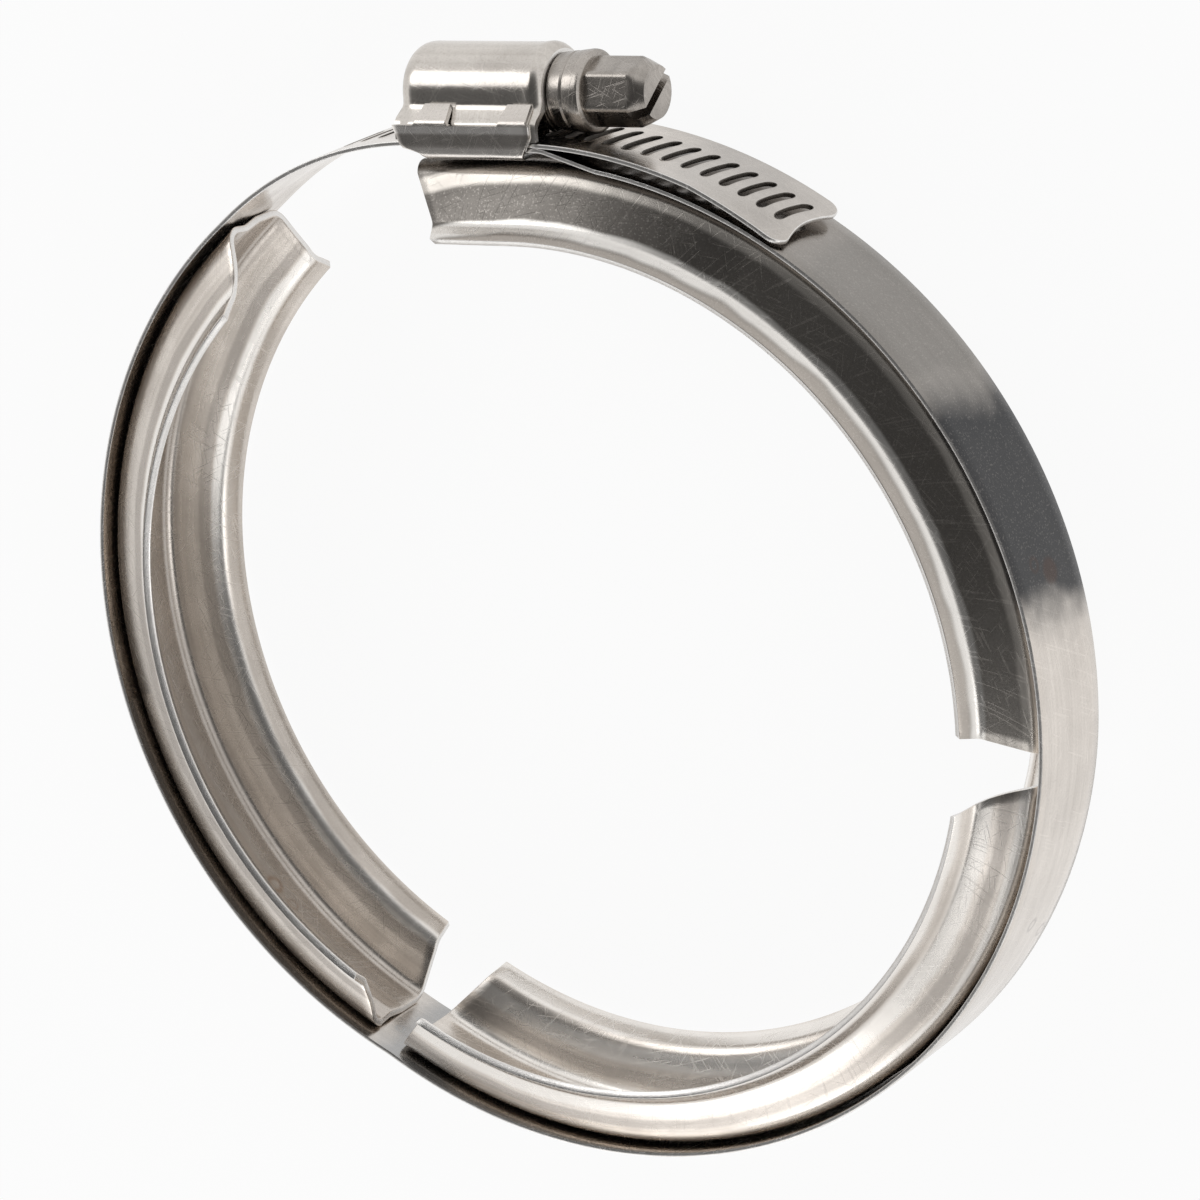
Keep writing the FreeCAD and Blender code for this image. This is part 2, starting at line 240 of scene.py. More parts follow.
def rounded(points: Sequence[Point], radii: Sequence[float], angle: float = 12.0) -> Line:
    """Round the inner corners of a line.

    Args:
        points: Corners of the line.
        radii: Radius at each inner corner.
        angle: Turn between points on a bend in degrees.

    Returns:
        Points along the line with the heading at each in degrees.
    """
    heads = [math.degrees(math.atan2(q[1] - p[1], q[0] - p[0])) for p, q in zip(points, points[1:])]
    found = [(np.array(points[0], float), heads[0])]
    for i, radius in enumerate(radii):
        turn = (heads[i + 1] - heads[i] + 180) % 360 - 180
        back = radius * math.tan(math.radians(abs(turn) / 2))
        start = np.array(points[i + 1]) - unit(heads[i]) * back
        leg = Leg(start, heads[i], radius * abs(math.radians(turn)), turn)
        count = max(2, math.ceil(abs(turn) / angle))
        found += [leg.at(leg.length * j / count) for j in range(count + 1)]
    found.append((np.array(points[-1], float), heads[-1]))
    return found


def divided(line: Line, step: float) -> Line:
    """Add points on the long runs of a line.

    Args:
        line: Points with headings.
        step: Largest distance between points.

    Returns:
        The line with more points.
    """
    found = [line[0]]
    for (p, _), (q, head) in zip(line, line[1:]):
        count = max(1, math.ceil(float(np.linalg.norm(q - p)) / step))
        found += [(p + (q - p) * i / count, head) for i in range(1, count + 1)]
    return found


def sheet_loop(line: Line, half: float, edge: float) -> np.ndarray:
    """Close a loop round a bent sheet with softened edges.

    Args:
        line: Middle line of the sheet with headings.
        half: Half the thickness.
        edge: Radius of the softened edges.

    Returns:
        Loop points, left side first and then back along the right side.
    """
    steps = ((edge, half), (edge * EDGE_MID, half - edge * EDGE_MID), (0.0, half - edge))
    sides = []
    for side in (1, -1):
        (first, head), (last, tail) = line[0], line[-1]
        found = [first + unit(head) * back + unit(head + 90) * lift * side for back, lift in steps[::-1]]
        found += [p + unit(turn + 90) * half * side for p, turn in line[1:-1]]
        found += [last - unit(tail) * back + unit(tail + 90) * lift * side for back, lift in steps]
        sides.append(found)
    return np.array(sides[0] + sides[1][::-1])


def girth(loop: np.ndarray) -> np.ndarray:
    """Give the distance of each point along a loop."""
    return np.concatenate([[0.0], np.cumsum(np.linalg.norm(np.diff(loop, axis=0), axis=1))])


def inside(point: Point, ring: Sequence[Point], margin: float = 0.0) -> bool:
    """Tell whether a point is inside a ring or nearer to its corners than a margin.

    Args:
        point: The point.
        ring: Corners of the ring.
        margin: Distance that still counts as inside.

    Returns:
        True inside or near.
    """
    x, y = point
    found = False
    for (ax, ay), (bx, by) in zip(ring, [*ring[1:], ring[0]]):
        if math.hypot(x - ax, y - ay) < margin:
            return True
        if (ay > y) != (by > y) and x < (bx - ax) * (y - ay) / (by - ay) + ax:
            found = not found
    return found


# Mesh tools


def placed(name: str, data: bpy.types.ID) -> bpy.types.Object:
    """Make an object of a mesh, lamp or camera and link it to the scene.

    Args:
        name: Name of the object.
        data: What it shows.

    Returns:
        The object.
    """
    obj = bpy.data.objects.new(name, data)
    bpy.context.scene.collection.objects.link(obj)
    return obj


@dataclass
class MeshData:
    """Vertices in mm, faces, a UV per vertex and a material index per face."""

    verts: list[Sequence[float]] = field(default_factory=list)
    faces: list[tuple[int, ...]] = field(default_factory=list)
    uvs: list[Point] = field(default_factory=list)
    kinds: list[int] = field(default_factory=list)

    def grid(self, rows: Sequence, uv: Sequence, kind: int = 0) -> int:
        """Add a tube of quads.

        Args:
            rows: Rings of points.
            uv: Rings of texture coordinates.
            kind: Material index.

        Returns:
            Index of the first vertex.
        """
        base = len(self.verts)
        n, m = len(rows), len(rows[0])
        self.verts += [tuple(v) for row in rows for v in row]
        self.uvs += [tuple(v) for row in uv for v in row]
        for i in range(n - 1):
            low, high = base + i * m, base + (i + 1) * m
            self.faces += [(low + j, low + (j + 1) % m, high + (j + 1) % m, high + j) for j in range(m)]
        self.kinds += [kind] * ((n - 1) * m)
        return base

    def paint(self, size: int, rows: int, columns: Sequence[int]) -> None:
        """Give columns of the last tube the second finish.

        Args:
            size: Points in a ring.
            rows: Number of rings.
            columns: Columns of faces.
        """
        base = len(self.kinds) - (rows - 1) * size
        for k in range((rows - 1) * size):
            if k % size in columns:
                self.kinds[base + k] = 1

    def caps(self, base: int, size: int, rows: int, kind: int) -> None:
        """Close both ends of a swept sheet with quads between its two sides.

        Args:
            base: First vertex of the sheet.
            size: Points in a ring.
            rows: Number of rings.
            kind: Material index.
        """
        for first in (base, base + (rows - 1) * size):
            for j in range(size // 2 - 1):
                self.faces.append((first + j, first + j + 1, first + size - 2 - j, first + size - 1 - j))
                self.kinds.append(kind)

    def sheet(self, rings: Sequence, uv: Sequence, kind: int) -> None:
        """Add a swept sheet with its cut edges in the second finish and closed ends.

        Args:
            rings: Rings of points from sheet_loop.
            uv: Rings of texture coordinates.
            kind: Material index of the ends.
        """
        size, rows = len(rings[0]), len(rings)
        half = size // 2
        base = self.grid(rings, uv)
        self.paint(size, rows, (0, half - 2, half - 1, half, size - 2, size - 1))
        self.caps(base, size, rows, kind)

    def fan(self, ring: Sequence[int], kind: int = 0) -> None:
        """Close a loop with one face."""
        self.faces.append(tuple(ring))
        self.kinds.append(kind)

    def build(self, name: str, materials: Sequence[Metal], sharp: float = 38.0) -> bpy.types.Object:
        """Make the object.

        Args:
            name: Name of the object.
            materials: Materials by index.
            sharp: Angle in degrees above which an edge stays sharp.

        Returns:
            The new object, linked to the scene.
        """
        mesh = bpy.data.meshes.new(name)
        mesh.from_pydata([[c * MM for c in v] for v in self.verts], [], self.faces)
        layer = mesh.uv_layers.new(name="uv")
        loops = np.zeros(len(mesh.loops), int)
        mesh.loops.foreach_get("vertex_index", loops)
        layer.data.foreach_set("uv", np.array(self.uvs, float)[loops].ravel())
        mesh.polygons.foreach_set("material_index", self.kinds)
        for material in materials:
            mesh.materials.append(material)
        work = bmesh.new()
        work.from_mesh(mesh)
        bmesh.ops.recalc_face_normals(work, faces=work.faces)
        limit = math.radians(sharp)
        for face in work.faces:
            face.smooth = True
        for edge in work.edges:
            edge.smooth = len(edge.link_faces) != 2 or edge.calc_face_angle(0.0) < limit
        work.to_mesh(mesh)
        work.free()
        LOG.info("%s: %d faces", name, len(mesh.polygons))
        return placed(name, mesh)


# Finishes


@dataclass
class Graph:
    """Short way to build the shader nodes of one material or world."""

    owner: bpy.types.ID

    def __post_init__(self) -> None:
        """Switch the nodes on and clear them."""
        self.owner.use_nodes = True
        self.owner.node_tree.nodes.clear()

    def node(self, kind: str, values: dict | None = None, **settings: object) -> bpy.types.Node:
        """Add a node.

        Args:
            kind: Node type without the ShaderNode prefix.
            values: Socket name or index to a value or another socket.
            settings: Properties of the node.

        Returns:
            The node.
        """
        made = self.owner.node_tree.nodes.new("ShaderNode" + kind)
        for key, value in settings.items():
            setattr(made, key, value)
        for key, value in (values or {}).items():
            if isinstance(value, Socket):
                self.owner.node_tree.links.new(value, made.inputs[key])
            else:
                made.inputs[key].default_value = value
        return made

    def math(self, kind: str, a: object, b: object = 0.0, clamp: bool = False) -> Socket:
        """Combine two values and return the result."""
        return self.node("Math", {0: a, 1: b}, operation=kind, use_clamp=clamp).outputs[0]

    def vector(self, kind: str, a: object, b: object = (0, 0, 0), out: str = "Vector") -> Socket:
        """Combine two vectors and return the result."""
        return self.node("VectorMath", {0: a, 1: b}, operation=kind).outputs[out]

    def sum(self, a: object, a_share: float, b: object, b_share: float) -> Socket:
        """Add two values by their shares and return the result."""
        return self.math("ADD", self.math("MULTIPLY", a, a_share), self.math("MULTIPLY", b, b_share))

    def mix(self, share: object, a: object, b: object) -> Socket:
        """Mix two colours.

        Args:
            share: Share of the second colour.
            a: First colour.
            b: Second colour.

        Returns:
            The mixed colour.
        """
        values = {0: share, 6: a, 7: b}
        values = {key: (*value, 1) if isinstance(value, tuple) else value for key, value in values.items()}
        return self.node("Mix", values, data_type="RGBA").outputs[2]

    def ramp(self, value: object, low: float, high: float) -> Socket:
        """Map a value from low..high to 0..1 smoothly and return the result."""
        made = self.node("MapRange", {0: value, 1: low, 2: high}, interpolation_type="SMOOTHSTEP")
        return made.outputs[0]

    def noise(self, place: object, scale: float, stretch: Triple = (1, 1, 1), detail: float = 4,
              turn: float = 0.0, shift: float = 0.0) -> Socket:
        """Add a noise pattern.

        Args:
            place: Coordinates.
            scale: Cells per unit.
            stretch: Extra scale along each axis.
            detail: Octaves.
            turn: Turn about the third axis in degrees.
            shift: Shift of the pattern.

        Returns:
            The pattern value.
        """
        moved = self.node("Mapping", {"Vector": place, "Rotation": (0, 0, math.radians(turn)),
                                      "Location": (shift, shift, shift)})
        sized = self.node("Mapping", {"Vector": moved.outputs[0], "Scale": stretch})
        return self.node("TexNoise", {"Vector": sized.outputs[0], "Scale": scale, "Detail": detail,
                                      "Roughness": 0.6}).outputs[0]

    def sway(self, pattern: Socket, reach: float) -> Socket:
        """Centre a pattern on 0 with a reach from end to end and return it."""
        return self.math("MULTIPLY", self.math("SUBTRACT", pattern, 0.5), reach)


@dataclass(frozen=True)
class Tint:
    """Colour laid over part of a surface.

    Attributes:
        colour: Colour in the middle.
        strength: Share of the colour there.
    """

    colour: Triple
    strength: float

    def over(self, g: Graph, base: object, value: Socket) -> Socket:
        """Lay the colour over a base and return the result."""
        return g.mix(g.math("MULTIPLY", self.share(g, value), self.strength), base, self.colour)

    def share(self, g: Graph, value: Socket) -> Socket:
        """Give where the colour lies, from 0 to 1."""
        raise NotImplementedError


@dataclass(frozen=True)
class Zone(Tint):
    """Tinted stretch of the ring: middle angle, half width and softness in degrees."""

    middle: float
    half: float
    soft: float

    def share(self, g: Graph, value: Socket) -> Socket:
        """Give where the colour lies.

        Args:
            g: Nodes of the material.
            value: Angle round the ring in radians.

        Returns:
            Share from 0 to 1.
        """
        away = g.math("SUBTRACT", value, math.radians(self.middle))
        turned = g.node("Math", {0: away, 1: math.pi, 2: -math.pi}, operation="WRAP").outputs[0]
        low, high = self.half + self.soft / 2, self.half - self.soft / 2
        return g.ramp(g.math("ABSOLUTE", turned), math.radians(low), math.radians(high))


@dataclass(frozen=True)
class Band(Tint):
    """Strip of painted highlight or painted shade along the sheet, by its colour: distance of its middle
    and half width in mm.
    """

    middle: float
    half: float

    def share(self, g: Graph, value: Socket) -> Socket:
        """Give where the colour lies over the distance in metres, from 0 to 1."""
        gap = g.math("ABSOLUTE", g.math("SUBTRACT", value, self.middle * MM))
        return g.ramp(gap, self.half * 1.3 * MM, self.half * 0.6 * MM)


@dataclass(frozen=True)
class Spot(Tint):
    """Round weld or heat mark: centre and radius in mm, and whether it is a ring."""

    place: Triple
    size: float
    ring: bool = True

    def share(self, g: Graph, value: Socket) -> Socket:
        """Give where the colour lies.

        Args:
            g: Nodes of the material.
            value: Place on the surface in metres.

        Returns:
            Share from 0 to 1.
        """
        gap = g.vector("DISTANCE", value, tuple(c * MM for c in self.place), "Value")
        size = self.size * MM
        found = g.ramp(gap, size * 1.25, size * 0.7)
        return g.math("MULTIPLY", found, g.ramp(gap, size * 0.35, size * 0.8)) if self.ring else found


@dataclass(frozen=True)
class Steel:
    """Look of one steel surface.

    Attributes:
        name: Material name.
        bright: Colour of the clean metal.
        dark: Colour of the worn and soiled metal.
        rough: Roughness of clean and worn places.
        lines: Strength of the rolling lines.
        scratches: Strength of the cross scratches.
        mottle: Strength of the cloudy patches.
        bump: Height of the fine relief in metres.
        coarse: Scale of the rolling lines across the strip.
        anisotropy: Stretch of highlights across the rolling lines.
        sparkle: Strength of the painted glints: light specks laid into the colour over the grain.
        spots: Weld and heat marks.
        zones: Tinted stretches of the ring; on the strap and the top retainer they are mostly painted
            reflections.
        bands: Strips of painted highlight and painted shade along the sheet.
        centre: Centre in mm that the distance of the bands is measured from.
        outward: Direction in degrees that the distance is measured in, or None for every direction.
        wander: How far in metres the bands wander to and fro.
        wobble: Height in metres of the slow unevenness of the sheet.
    """

    name: str
    bright: Triple
    dark: Triple
    rough: Point
    lines: float = 0.3
    scratches: float = 0.2
    mottle: float = 0.35
    bump: float = 0.00001
    coarse: float = 3.0
    anisotropy: float = 0.0
    sparkle: float = 0.08
    spots: tuple[Spot, ...] = ()
    zones: tuple[Zone, ...] = ()
    bands: tuple[Band, ...] = ()
    centre: Point = (0.0, 0.0)
    outward: float | None = None
    wander: float = 0.0013
    wobble: float = 0.00003

    def make(self) -> Metal:
        """Build the material.

        Returns:
            The new material.
        """
        material = bpy.data.materials.new(self.name)
        g = Graph(material)
        uv = g.node("UVMap", uv_map="uv").outputs[0]
        place = g.node("TexCoord").outputs["Object"]
        rolled = g.noise(uv, self.coarse, (0.03, 1, 1), 3)
        fine = g.noise(uv, self.coarse * 4, (0.02, 1, 1), 2, shift=7)
        lines = g.sum(rolled, 0.65, fine, 0.35)
        cloud = g.sum(g.noise(place, CLOUD, detail=3), 0.6, g.noise(place, PATCH, detail=2, shift=3), 0.4)
        grain = g.noise(place, GRAIN, detail=1)
        scratch = self._scratches(g, uv)
        wear = g.math("MULTIPLY", g.ramp(lines, 0.38, 0.66), self.lines)
        soil = g.math("MULTIPLY", g.ramp(cloud, 0.4, 0.64), self.mottle)
        share = g.math("ADD", wear, soil, True)
        base = self._coloured(g, place, share, scratch, grain)
        clean, worn = self.rough
        rough = g.node("MapRange", {0: g.sum(share, 0.7, scratch, 0.4), 3: clean, 4: worn})
        height = g.math("SUBTRACT", g.sum(lines, 0.8, grain, 0.35), g.math("MULTIPLY", scratch, 0.3))
        waves = g.noise(place, WAVES, detail=1, shift=9)
        uneven = g.node("Bump", {"Height": waves, "Distance": self.wobble})
        relief = g.node("Bump", {"Height": height, "Distance": self.bump, "Normal": uneven.outputs[0]})
        values = {"Base Color": base, "Roughness": rough.outputs[0], "Metallic": 1.0,
                  "Normal": relief.outputs[0], "Anisotropic": self.anisotropy}
        if self.anisotropy:
            values["Tangent"] = g.node("Tangent", direction_type="UV_MAP", uv_map="uv").outputs[0]
        g.node("OutputMaterial", {"Surface": g.node("BsdfPrincipled", values).outputs[0]})
        return material

    def _coloured(self, g: Graph, place: Socket, share: Socket, scratch: Socket, grain: Socket) -> Socket:
        """Build the colour of the steel.

        Args:
            g: Nodes of the material.
            place: Place on the surface.
            share: Share of worn metal.
            scratch: Mask of the scratches.
            grain: Pattern of the grain.

        Returns:
            The colour.
        """
        light = tuple(min(1.0, c * 1.15 + 0.05) for c in self.bright)
        base = g.mix(share, self.bright, self.dark)
        base = g.mix(g.math("MULTIPLY", scratch, self.scratches), base, light)
        soiled = g.math("MULTIPLY", g.ramp(grain, 0.52, 0.7), 0.3 * self.mottle + 0.08)
        base = g.mix(soiled, base, self.dark)
        angle = self._angle(g, place) if self.zones else place
        distance = self._distance(g, place) if self.bands else place
        # Zones lay tinted stretches of the ring, and bands lay painted highlight and painted shade.
        for zone in self.zones:
            base = zone.over(g, base, angle)
        for band in self.bands:
            base = band.over(g, base, distance)
        # Painted glints: light specks over the grain.
        base = g.mix(g.math("MULTIPLY", g.ramp(grain, 0.42, 0.3), self.sparkle), base, light)
        for spot in self.spots:
            base = spot.over(g, base, place)
        return base

    def _scratches(self, g: Graph, uv: Socket) -> Socket:
        """Add crossing sets of fine scratches.

        Args:
            g: Nodes of the material.
            uv: Texture coordinates.

        Returns:
            Their mask.
        """
        found: object = 0.0
        for turn, scale, shift, low in ((64, 2.6, 1, 0.69), (-50, 3.2, 5, 0.70), (14, 3.0, 13, 0.69)):
            line = g.noise(uv, scale, (0.7, 13.0, 1), 0, turn, shift)
            found = g.math("MAXIMUM", found, g.ramp(line, low, low + 0.06))
        return found

    def _angle(self, g: Graph, place: Socket) -> Socket:
        """Give the angle round the ring, with wavering ends of the zones.

        Args:
            g: Nodes of the material.
            place: Place on the surface.

        Returns:
            The angle in radians.
        """
        split = g.node("SeparateXYZ", {0: place})
        angle = g.math("ARCTAN2", split.outputs[1], split.outputs[0])
        return g.math("ADD", angle, g.sway(g.noise(place, WAVER, detail=3), 0.22))

    def _distance(self, g: Graph, place: Socket) -> Socket:
        """Give the distance that the bands are placed by.

        Args:
            g: Nodes of the material.
            place: Place on the surface.

        Returns:
            Distance from the centre in metres, with the wander of the bands.
        """
        moved = g.vector("SUBTRACT", place, (self.centre[0] * MM, self.centre[1] * MM, 0))
        if self.outward is None:
            found = g.vector("LENGTH", g.vector("MULTIPLY", moved, (1, 1, 0)), out="Value")
        else:
            found = g.vector("DOT_PRODUCT", moved, (*unit(self.outward), 0), "Value")
        return g.math("ADD", found, g.sway(g.noise(place, WANDER, detail=2, shift=4), self.wander))


MARK = (0.33, 0.3, 0.28)
WELD = (0.45, 0.46, 0.47)
# Colours of the retainer bands: the pale one below is a painted highlight, SHADE a painted shade.
PAINTED_HIGHLIGHT = (0.95, 0.92, 0.88)
SHADE = (0.3, 0.27, 0.245)

STRAP_STEEL = Steel(
    "strap_steel", (0.74, 0.685, 0.63), (0.4, 0.365, 0.33), (0.17, 0.34),
    lines=0.25, scratches=0.25, mottle=0.25, bump=0.000006, coarse=4.0, anisotropy=0.35,
    spots=(Spot((0.085, 0.055, 0.045), 0.6, (63.8, 23.0, -0.9), 1.7, False),
           Spot((0.08, 0.05, 0.04), 0.45, (63.2, 24.6, 2.4), 1.1),
           Spot(MARK, 0.55, (62.7, -24.6, -0.8), 1.1), Spot(MARK, 0.5, (61.6, -27.2, -5.6), 1.1),
           Spot(WELD, 0.6, (-30.4, -59.4, 2.2), 0.9), Spot(WELD, 0.5, (-29.8, -59.7, -2.0), 0.8)),
    # Zones of the strap: painted reflections. Near black at 28° and dark at 52°, where the band mirrors
    # dark surroundings, and bluish grey at 246° on the inside of the strap at the lower gap. The zone at
    # 80° darkens that stretch.
    zones=(Zone((0.12, 0.116, 0.11), 0.75, 52, 13, 12), Zone((0.036, 0.038, 0.042), 0.96, 28, 12.6, 6),
           Zone((0.06, 0.05, 0.045), 0.85, 80, 15, 12), Zone((0.3, 0.315, 0.33), 0.7, 246, 5, 6)))
TAIL_STEEL = replace(STRAP_STEEL, name="tail_steel", spots=(), mottle=0.5,
                     zones=(Zone((0.36, 0.345, 0.33), 0.5, 72, 9, 10),))
# Left and right retainers: their pale bands are painted highlights on the lip fold and the bends, and
# their dark bands are painted shade on the walls and bends. The zone at 188° darkens the middle of the
# left retainer.
LEFT_STEEL = Steel(
    "left_steel", (0.79, 0.73, 0.67), (0.44, 0.395, 0.35), (0.22, 0.4),
    lines=0.35, scratches=0.08, mottle=0.4, coarse=3.2, anisotropy=0.3,
    spots=(Spot((0.3, 0.19, 0.12), 0.6, (-52.3, -43.6, -0.6), 1.4),
           Spot((0.34, 0.25, 0.19), 0.45, (-49.6, -46.1, -0.9), 1.0)),
    zones=(Zone((0.42, 0.385, 0.35), 0.45, 188, 31, 28),),
    bands=(Band(PAINTED_HIGHLIGHT, 0.75, 59.6, 0.8), Band(SHADE, 0.5, 61.3, 0.7), Band(SHADE, 0.45, 65.4, 0.9)))
RIGHT_STEEL = replace(
    LEFT_STEEL, name="right_steel", bright=(0.78, 0.72, 0.66), dark=(0.5, 0.455, 0.41), zones=(),
    bands=(Band(PAINTED_HIGHLIGHT, 0.7, 58.0, 0.8), Band((0.88, 0.85, 0.81), 0.7, 60.9, 1.1),
           Band((0.34, 0.31, 0.285), 0.55, 63.4, 0.8), Band(PAINTED_HIGHLIGHT, 0.6, 65.4, 0.7)))
# Top retainer: a darker copy of the retainer steel, painting dark reflection over the whole piece, deepest
# in the zones at 90° and 45°. Its bands are painted highlights on the base bend and the lip fold, plus a
# lighter lip, and its glints are painted stronger.
TOP_STEEL = replace(
    LEFT_STEEL, name="top_steel", bright=(0.54, 0.505, 0.465), dark=(0.2, 0.184, 0.168),
    mottle=0.6, scratches=0.04, sparkle=0.22,
    zones=(Zone((0.1, 0.092, 0.084), 0.85, 90, 24, 16), Zone((0.17, 0.156, 0.142), 0.6, 45, 29, 24)),
    bands=(Band((0.78, 0.73, 0.67), 0.7, 65.7, 1.0), Band((0.9, 0.87, 0.83), 0.85, 59.7, 0.75),
           Band((0.5, 0.455, 0.41), 0.7, 58.2, 0.7)))
EDGE_STEEL = Steel("edge_steel", (0.82, 0.80, 0.78), (0.52, 0.50, 0.47), (0.25, 0.42), mottle=0.25,
                   coarse=8.0)
HOUSING_STEEL = Steel("housing_steel", (0.67, 0.63, 0.585), (0.33, 0.3, 0.27), (0.16, 0.3), scratches=0.14,
                      wobble=0.00007, bump=0.000007, coarse=2.6)
# Saddle bands: painted highlights along the top and the lower part of its front, with painted shade
# between them.
SADDLE_STEEL = Steel("saddle_steel", (0.72, 0.675, 0.63), (0.40, 0.36, 0.33), (0.24, 0.4), scratches=0.05,
                     wobble=0.00012, outward=FOOT, wander=0.0006,
                     bands=(Band((1.0, 0.96, 0.92), 0.85, 71.7, 0.5),
                            Band((0.26, 0.24, 0.22), 0.55, 70.4, 0.8),
                            Band((0.95, 0.9, 0.85), 0.8, 68.9, 0.5)))
SCREW_STEEL = Steel("screw_steel", (0.46, 0.425, 0.39), (0.17, 0.155, 0.14), (0.22, 0.42), lines=0.2,
                    scratches=0.35, mottle=0.6, bump=0.00002)
# Dark steel inside the slots of the tail and the drive slot of the screw: painted shade in these recesses.
SLOT_SHADE_STEEL = Steel("slot_shade_steel", (0.22, 0.2, 0.18), (0.08, 0.07, 0.06), (0.4, 0.6), lines=0.2,
                   scratches=0.1, mottle=0.5, coarse=4.0)


# Strap


@dataclass
class StrapSizes:
    """Sizes of the strap and its way round the ring, in mm and degrees.

    Attributes:
        inner_end: Plain end, along the screw from the foot of its axis.
        gap1: Length and turn of the bare stretch at the right.
        gap2: Radius and turn of the bare stretch at the bottom.
        hollow: Depth of the hollow in the end of the tail.
        hollow_mid: Middle of the hollow across the strip, and half its width.
        curl: How far the front corner of the tail leans down.
        curl_reach: Length over which it leans, and its width from a line near the middle.
        slot_points: Points round a slot.
        slot_rims: How far each ring round a slot stands off its wall.
        burr_top: Heights of the three inner rings above the top face.
        burr_low: Heights of two rings above the low face.
    """

    width: float = 15.875
    thick: float = 0.6
    ring_r: float = 67.5
    inner_end: float = -12.5
    inner_h: float = 68.95
    set_down_s: float = 3.5
    set_down_turn: float = 18.0
    set_down_r: float = 4.0
    a_first: float = 1.1
    gap1: Point = (4.15, 4.5)
    c_span: float = 111.3
    gap2: Point = (7.55, 5.01)
    b_first: float = 134.6
    tail_h: float = 69.65
    free_r: float = 50.0
    tail_r: float = 67.2
    tail_turn: float = 34.1
    corner: float = 2.2
    edge: float = 0.14
    hollow: float = 0.9
    hollow_mid: Point = (0.6, 5.4)
    curl: float = 0.8
    curl_reach: Triple = (14.0, 7.4, 0.5)
    slot_w: float = 1.2
    slot_l: float = 7.8
    slot_slant: float = -7.0
    slot_arch: float = 0.3
    slot_start: float = 3.2
    slot_count: int = 24
    slot_points: int = 24
    slot_rims: tuple[float, ...] = (0.0, 0.03, 0.12, 0.32)
    burr_top: Triple = (-0.04, 0.05, 0.06)
    burr_low: Point = (0.1, 0.03)


